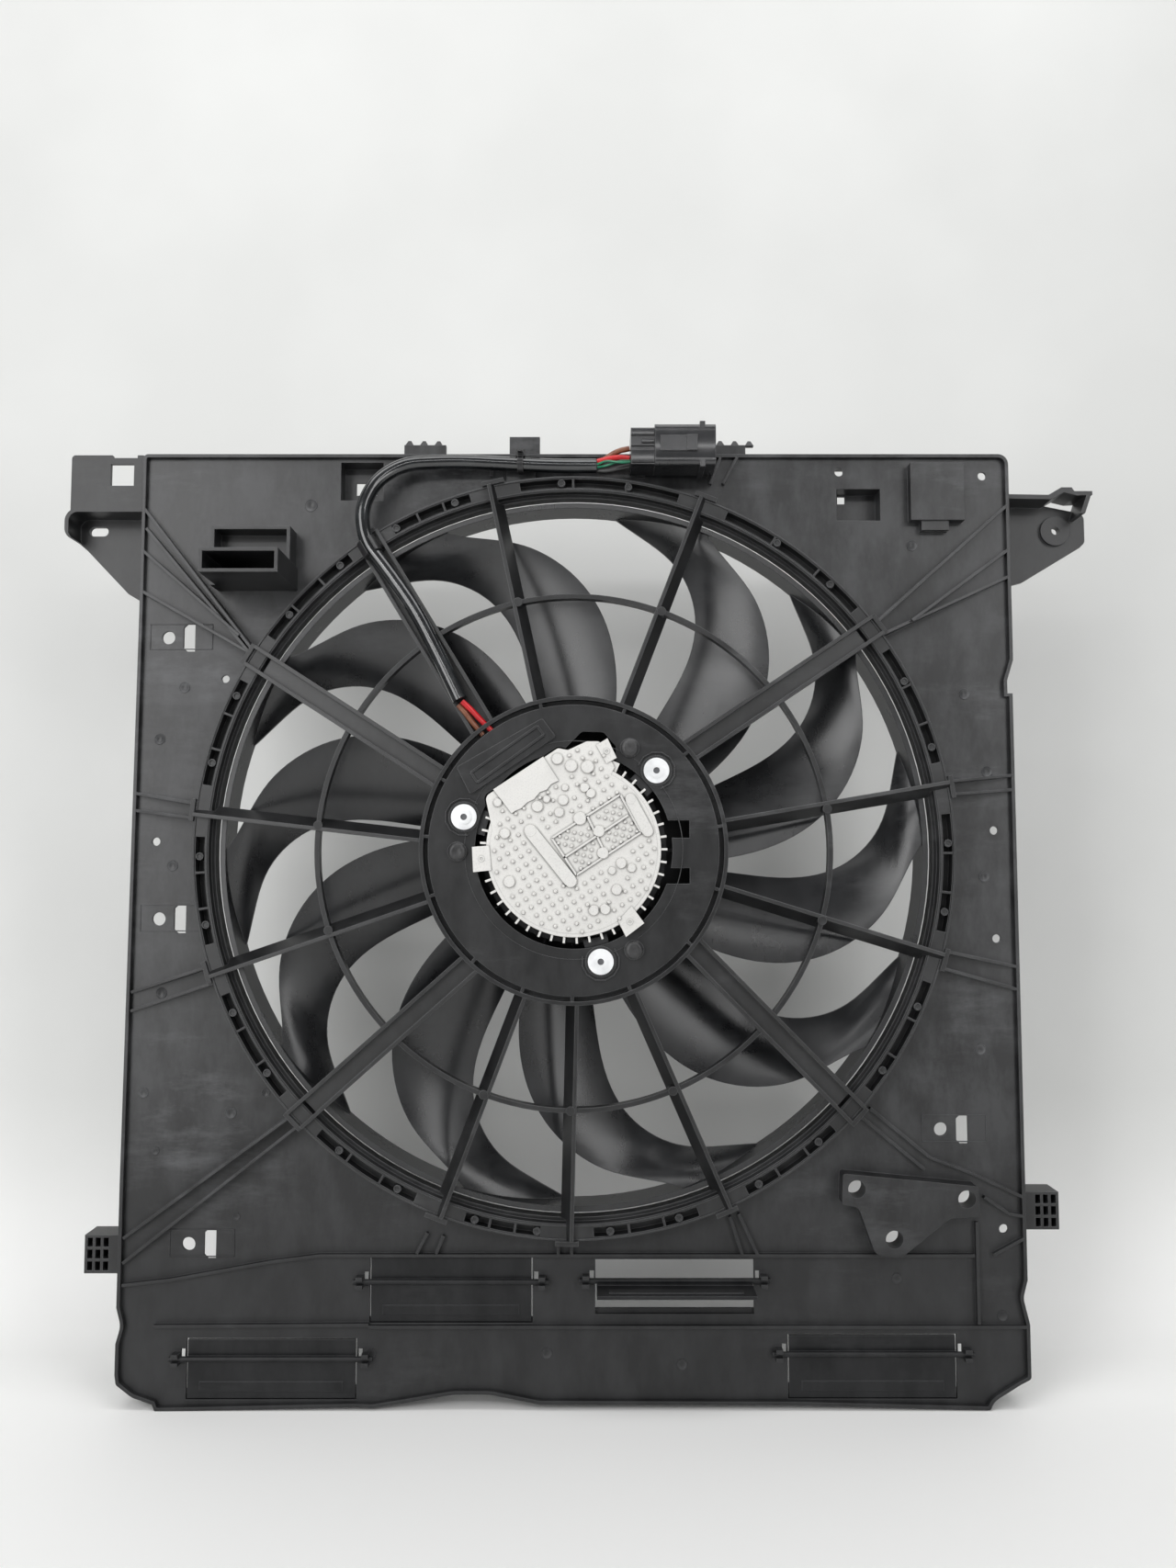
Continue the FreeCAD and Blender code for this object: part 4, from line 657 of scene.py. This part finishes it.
# Electronics under the cover: the circuit board with its transistors, and the cover's gasket.
# Green laminate, black moulded chips and soft black rubber; the capacitors are dressed as metal above.
laminate = moulding("board_laminate", (0.012, 0.085, 0.035), (0.03, 0.16, 0.07), 0.3, streaks=0.2,
                    corners=0.0, grain=1400.0, depth=0.05)
dress(["circuit_board"], laminate)
dress(["power_transistors"], moulding("chip_resin", (0.012, 0.012, 0.013), (0.05, 0.05, 0.05), 0.4))
dress(["cover_gasket"], moulding("gasket_rubber", (0.015, 0.015, 0.015), (0.04, 0.04, 0.04), 0.75))

# Harness: the glossy sleeve, its clip and tie, and the coloured leads at its two ends.
# The sleeve is shrunk on, so it shows faint wrinkles; the leads are smooth insulation.


def flexible(name, colour, pale, rough, wrinkle, coat):
    made, tree, skin = new_material(name)
    skin.inputs["Coat Weight"].default_value = coat
    skin.inputs["Coat Roughness"].default_value = 0.08
    where = object_place(tree)
    folds = noise(tree, where, 95.0, 3.0)
    specks = noise(tree, where, 800.0, 2.0)
    tree.links.new(between(tree, ramp(tree, folds, 0.45, 0.8), colour, pale), skin.inputs["Base Color"])
    tree.links.new(spread(tree, specks, rough, rough + 0.12), skin.inputs["Roughness"])
    emboss(tree, skin, folds, wrinkle, 0.0012)
    return made


sleeve_film = flexible("sleeve_film", (0.008, 0.009, 0.010), (0.03, 0.034, 0.036), 0.12, 0.22, 0.9)
dress(["harness_sleeve"], sleeve_film)
dress(["lead_red"], flexible("red_insulation", (0.55, 0.008, 0.014), (0.72, 0.03, 0.03), 0.24, 0.06, 0.2))
dress(["lead_brown"], flexible("brown_insulation", (0.19, 0.060, 0.028), (0.34, 0.15, 0.08), 0.3, 0.06, 0.1))
dress(["lead_black"], flexible("black_insulation", (0.012, 0.012, 0.012), (0.04, 0.04, 0.04), 0.3, 0.06, 0.1))
green_skin = flexible("green_insulation", (0.006, 0.15, 0.075), (0.02, 0.28, 0.14), 0.26, 0.06, 0.2)
dress(["leads_green"], green_skin)
tie_nylon = moulding("tie_nylon", (0.016, 0.016, 0.017), (0.10, 0.10, 0.10), 0.3, corners=0.7)
dress(["cable_tie", "sleeve_clip"], tie_nylon)

# Connector: housing and latch, four rounded ridges on the front, and a rounded crown on its right part.
# Semi-gloss black moulding with crisp corners; the ridges and the crown are one with the housing.
connector_black = moulding("connector_plastic", (0.020, 0.0204, 0.022), (0.11, 0.11, 0.115), 0.2, shine=0.65,
                           streaks=0.3, corners=0.6, grain=2000.0, depth=0.02, coat=0.25)
dress(["connector_housing", "connector_latch"], connector_black)
ridge_places = ((0.3118, 0.3172, 0.0432, 0.0604), (0.3060, 0.3098, 0.0510, 0.0604),
                (0.3034, 0.3052, 0.0432, 0.0604), (0.2910, 0.3010, 0.0432, 0.0604))
ridge_y = -0.0624
ridge_height = 0.0024
ridges = bmesh.new()
for low_z, high_z, start_x, end_x in ridge_places:
    size = Matrix.Diagonal((end_x - start_x, ridge_height, high_z - low_z, 1))
    middle = Matrix.Translation(((start_x + end_x) / 2, ridge_y, (low_z + high_z) / 2))
    bmesh.ops.create_cube(ridges, size=1, matrix=middle @ size)
long_edges = [e for e in ridges.edges if abs(e.verts[0].co.x - e.verts[1].co.x) > 0.001]
bmesh.ops.bevel(ridges, geom=long_edges, offset=0.0008, affect="EDGES", segments=4, profile=0.5, material=-1)

crown_left = 0.0612
crown_right = 0.1064
crown_back = -0.0612
crown_height = 0.0040
crown_middle = 0.3050
crown_half = 0.0150
crown_steps = 16
crown = []
for k in range(crown_steps + 1):
    across = -1 + 2 * k / crown_steps
    swell = crown_height * math.sqrt(1 - across * across)
    crown.append((crown_left, crown_back - swell, crown_middle + crown_half * across))
pull_out(ridges, crown, (crown_right - crown_left, 0, 0))
finish_piece("connector_ridges", ridges, "shroud", connector_black, 50)

# Stage: a pale sheet from the floor up the wall, strips of floor beyond it, four soft lamps and a camera.
# The sheet shows from its front only, so that a view from behind looks through it at the object.
# The camera stands 0.94 m in front of the fan, a little low, and looks slightly up.
paper, tree, skin = new_material("pale_wall")
skin.inputs["Specular IOR Level"].default_value = 0.25
skin.inputs["Roughness"].default_value = 0.6
where = object_place(tree)
cloud = ramp(tree, noise(tree, where, 2.2, 4.0), 0.35, 0.65)
wall_colour = between(tree, cloud, (0.71, 0.715, 0.70), (0.78, 0.785, 0.77))
# Painted light: the floor is painted paler than the wall, for the floor that the lamps light more strongly
# from above.
height = tree.nodes.new("ShaderNodeSeparateXYZ")
tree.links.new(where, height.inputs[0])
wall_share = ramp(tree, height.outputs["Z"], -0.411, -0.22)
painted_light_floor_colour = (0.95, 0.95, 0.94)
tree.links.new(between(tree, wall_share, painted_light_floor_colour, wall_colour), skin.inputs["Base Color"])
one_way = tree.nodes.new("ShaderNodeMixShader")
tree.links.new(tree.nodes.new("ShaderNodeNewGeometry").outputs["Backfacing"], one_way.inputs[0])
tree.links.new(skin.outputs[0], one_way.inputs[1])
tree.links.new(tree.nodes.new("ShaderNodeBsdfTransparent").outputs[0], one_way.inputs[2])
tree.links.new(one_way.outputs[0], tree.nodes["Material Output"].inputs["Surface"])


def stage_sheet(name, mesh):
    """Turn a bmesh into a sheet of the stage."""
    data = bpy.data.meshes.new(name)
    mesh.to_mesh(data)
    mesh.free()
    data.materials.append(paper)
    sheet = bpy.data.objects.new(name, data)
    bpy.context.scene.collection.objects.link(sheet)
    return sheet


floor_level = -0.4118
floor_front = -0.30
wall_at = 0.19
wall_top = 2.4
bend = 0.12
bend_steps = 8
sheet_width = 5.2
profile = [(floor_front, floor_level)]
for k in range(bend_steps + 1):
    turn = math.radians(90 * k / bend_steps)
    profile.append((wall_at - bend + bend * math.sin(turn), floor_level + bend - bend * math.cos(turn)))
profile.append((wall_at, wall_top))
sweep = bmesh.new()
rail = [sweep.verts.new((-sheet_width / 2, y, z)) for y, z in profile]
runs = [sweep.edges.new(ends) for ends in zip(rail, rail[1:])]
pulled = bmesh.ops.extrude_edge_only(sweep, edges=runs)["geom"]
far_rail = [v for v in pulled if isinstance(v, bmesh.types.BMVert)]
bmesh.ops.translate(sweep, verts=far_rail, vec=(sheet_width, 0, 0))
sweep.normal_update()
bmesh.ops.reverse_faces(sweep, faces=[f for f in sweep.faces if f.normal.z - f.normal.y < 0])
backdrop = stage_sheet("backdrop", sweep)
backdrop.data.shade_smooth()

strip_width = 8.0
strips = bmesh.new()
for near_y, far_y in ((-4.0, floor_front), (wall_at - bend, 4.0)):
    place = Matrix.Translation((0, (near_y + far_y) / 2, floor_level))
    size = Matrix.Diagonal((strip_width, far_y - near_y, 1, 1))
    bmesh.ops.create_grid(strips, x_segments=1, y_segments=1, size=0.5, matrix=place @ size)
outer_floor = stage_sheet("outer_floor", strips)
outer_floor.visible_diffuse = False


def lamp(name, place, aim, size, power):
    light = bpy.data.lights.new(name, "AREA")
    light.shape = "RECTANGLE"
    light.size, light.size_y = size
    light.energy = power
    holder = bpy.data.objects.new(name, light)
    holder.location = place
    holder.rotation_euler = (Vector(aim) - Vector(place)).to_track_quat("-Z", "Y").to_euler()
    bpy.context.scene.collection.objects.link(holder)


lamp("ceiling_lamp", (0.1, -0.62, 1.7), (0.0, -0.1, -0.4), (2.4, 0.8), 17.0)
lamp("left_lamp", (-1.05, -1.45, 0.45), (0.0, 0.1, 0.0), (0.9, 1.7), 18.0)
lamp("right_lamp", (1.1, -1.45, 0.4), (0.0, 0.1, 0.0), (0.6, 1.6), 10.0)
lamp("front_strip", (0.0, -1.70, 0.75), (0.0, 0.0, 0.1), (1.9, 0.12), 5.0)
world = bpy.data.worlds.new("studio")
world.use_nodes = True
sky = world.node_tree.nodes["Background"]
sky.inputs["Color"].default_value = (0.93, 0.94, 0.96, 1.0)
sky.inputs["Strength"].default_value = 0.17
bpy.context.scene.world = world

lens = bpy.data.cameras.new("camera")
lens.lens = 27.42
lens.sensor_width = 36.0
camera = bpy.data.objects.new("camera", lens)
camera.location = (0.0105, -0.942, -0.0148)
camera.rotation_euler = (math.radians(94.1), 0.0, 0.0)
bpy.context.scene.collection.objects.link(camera)
bpy.context.scene.camera = camera
bpy.context.scene.view_settings.view_transform = "Standard"
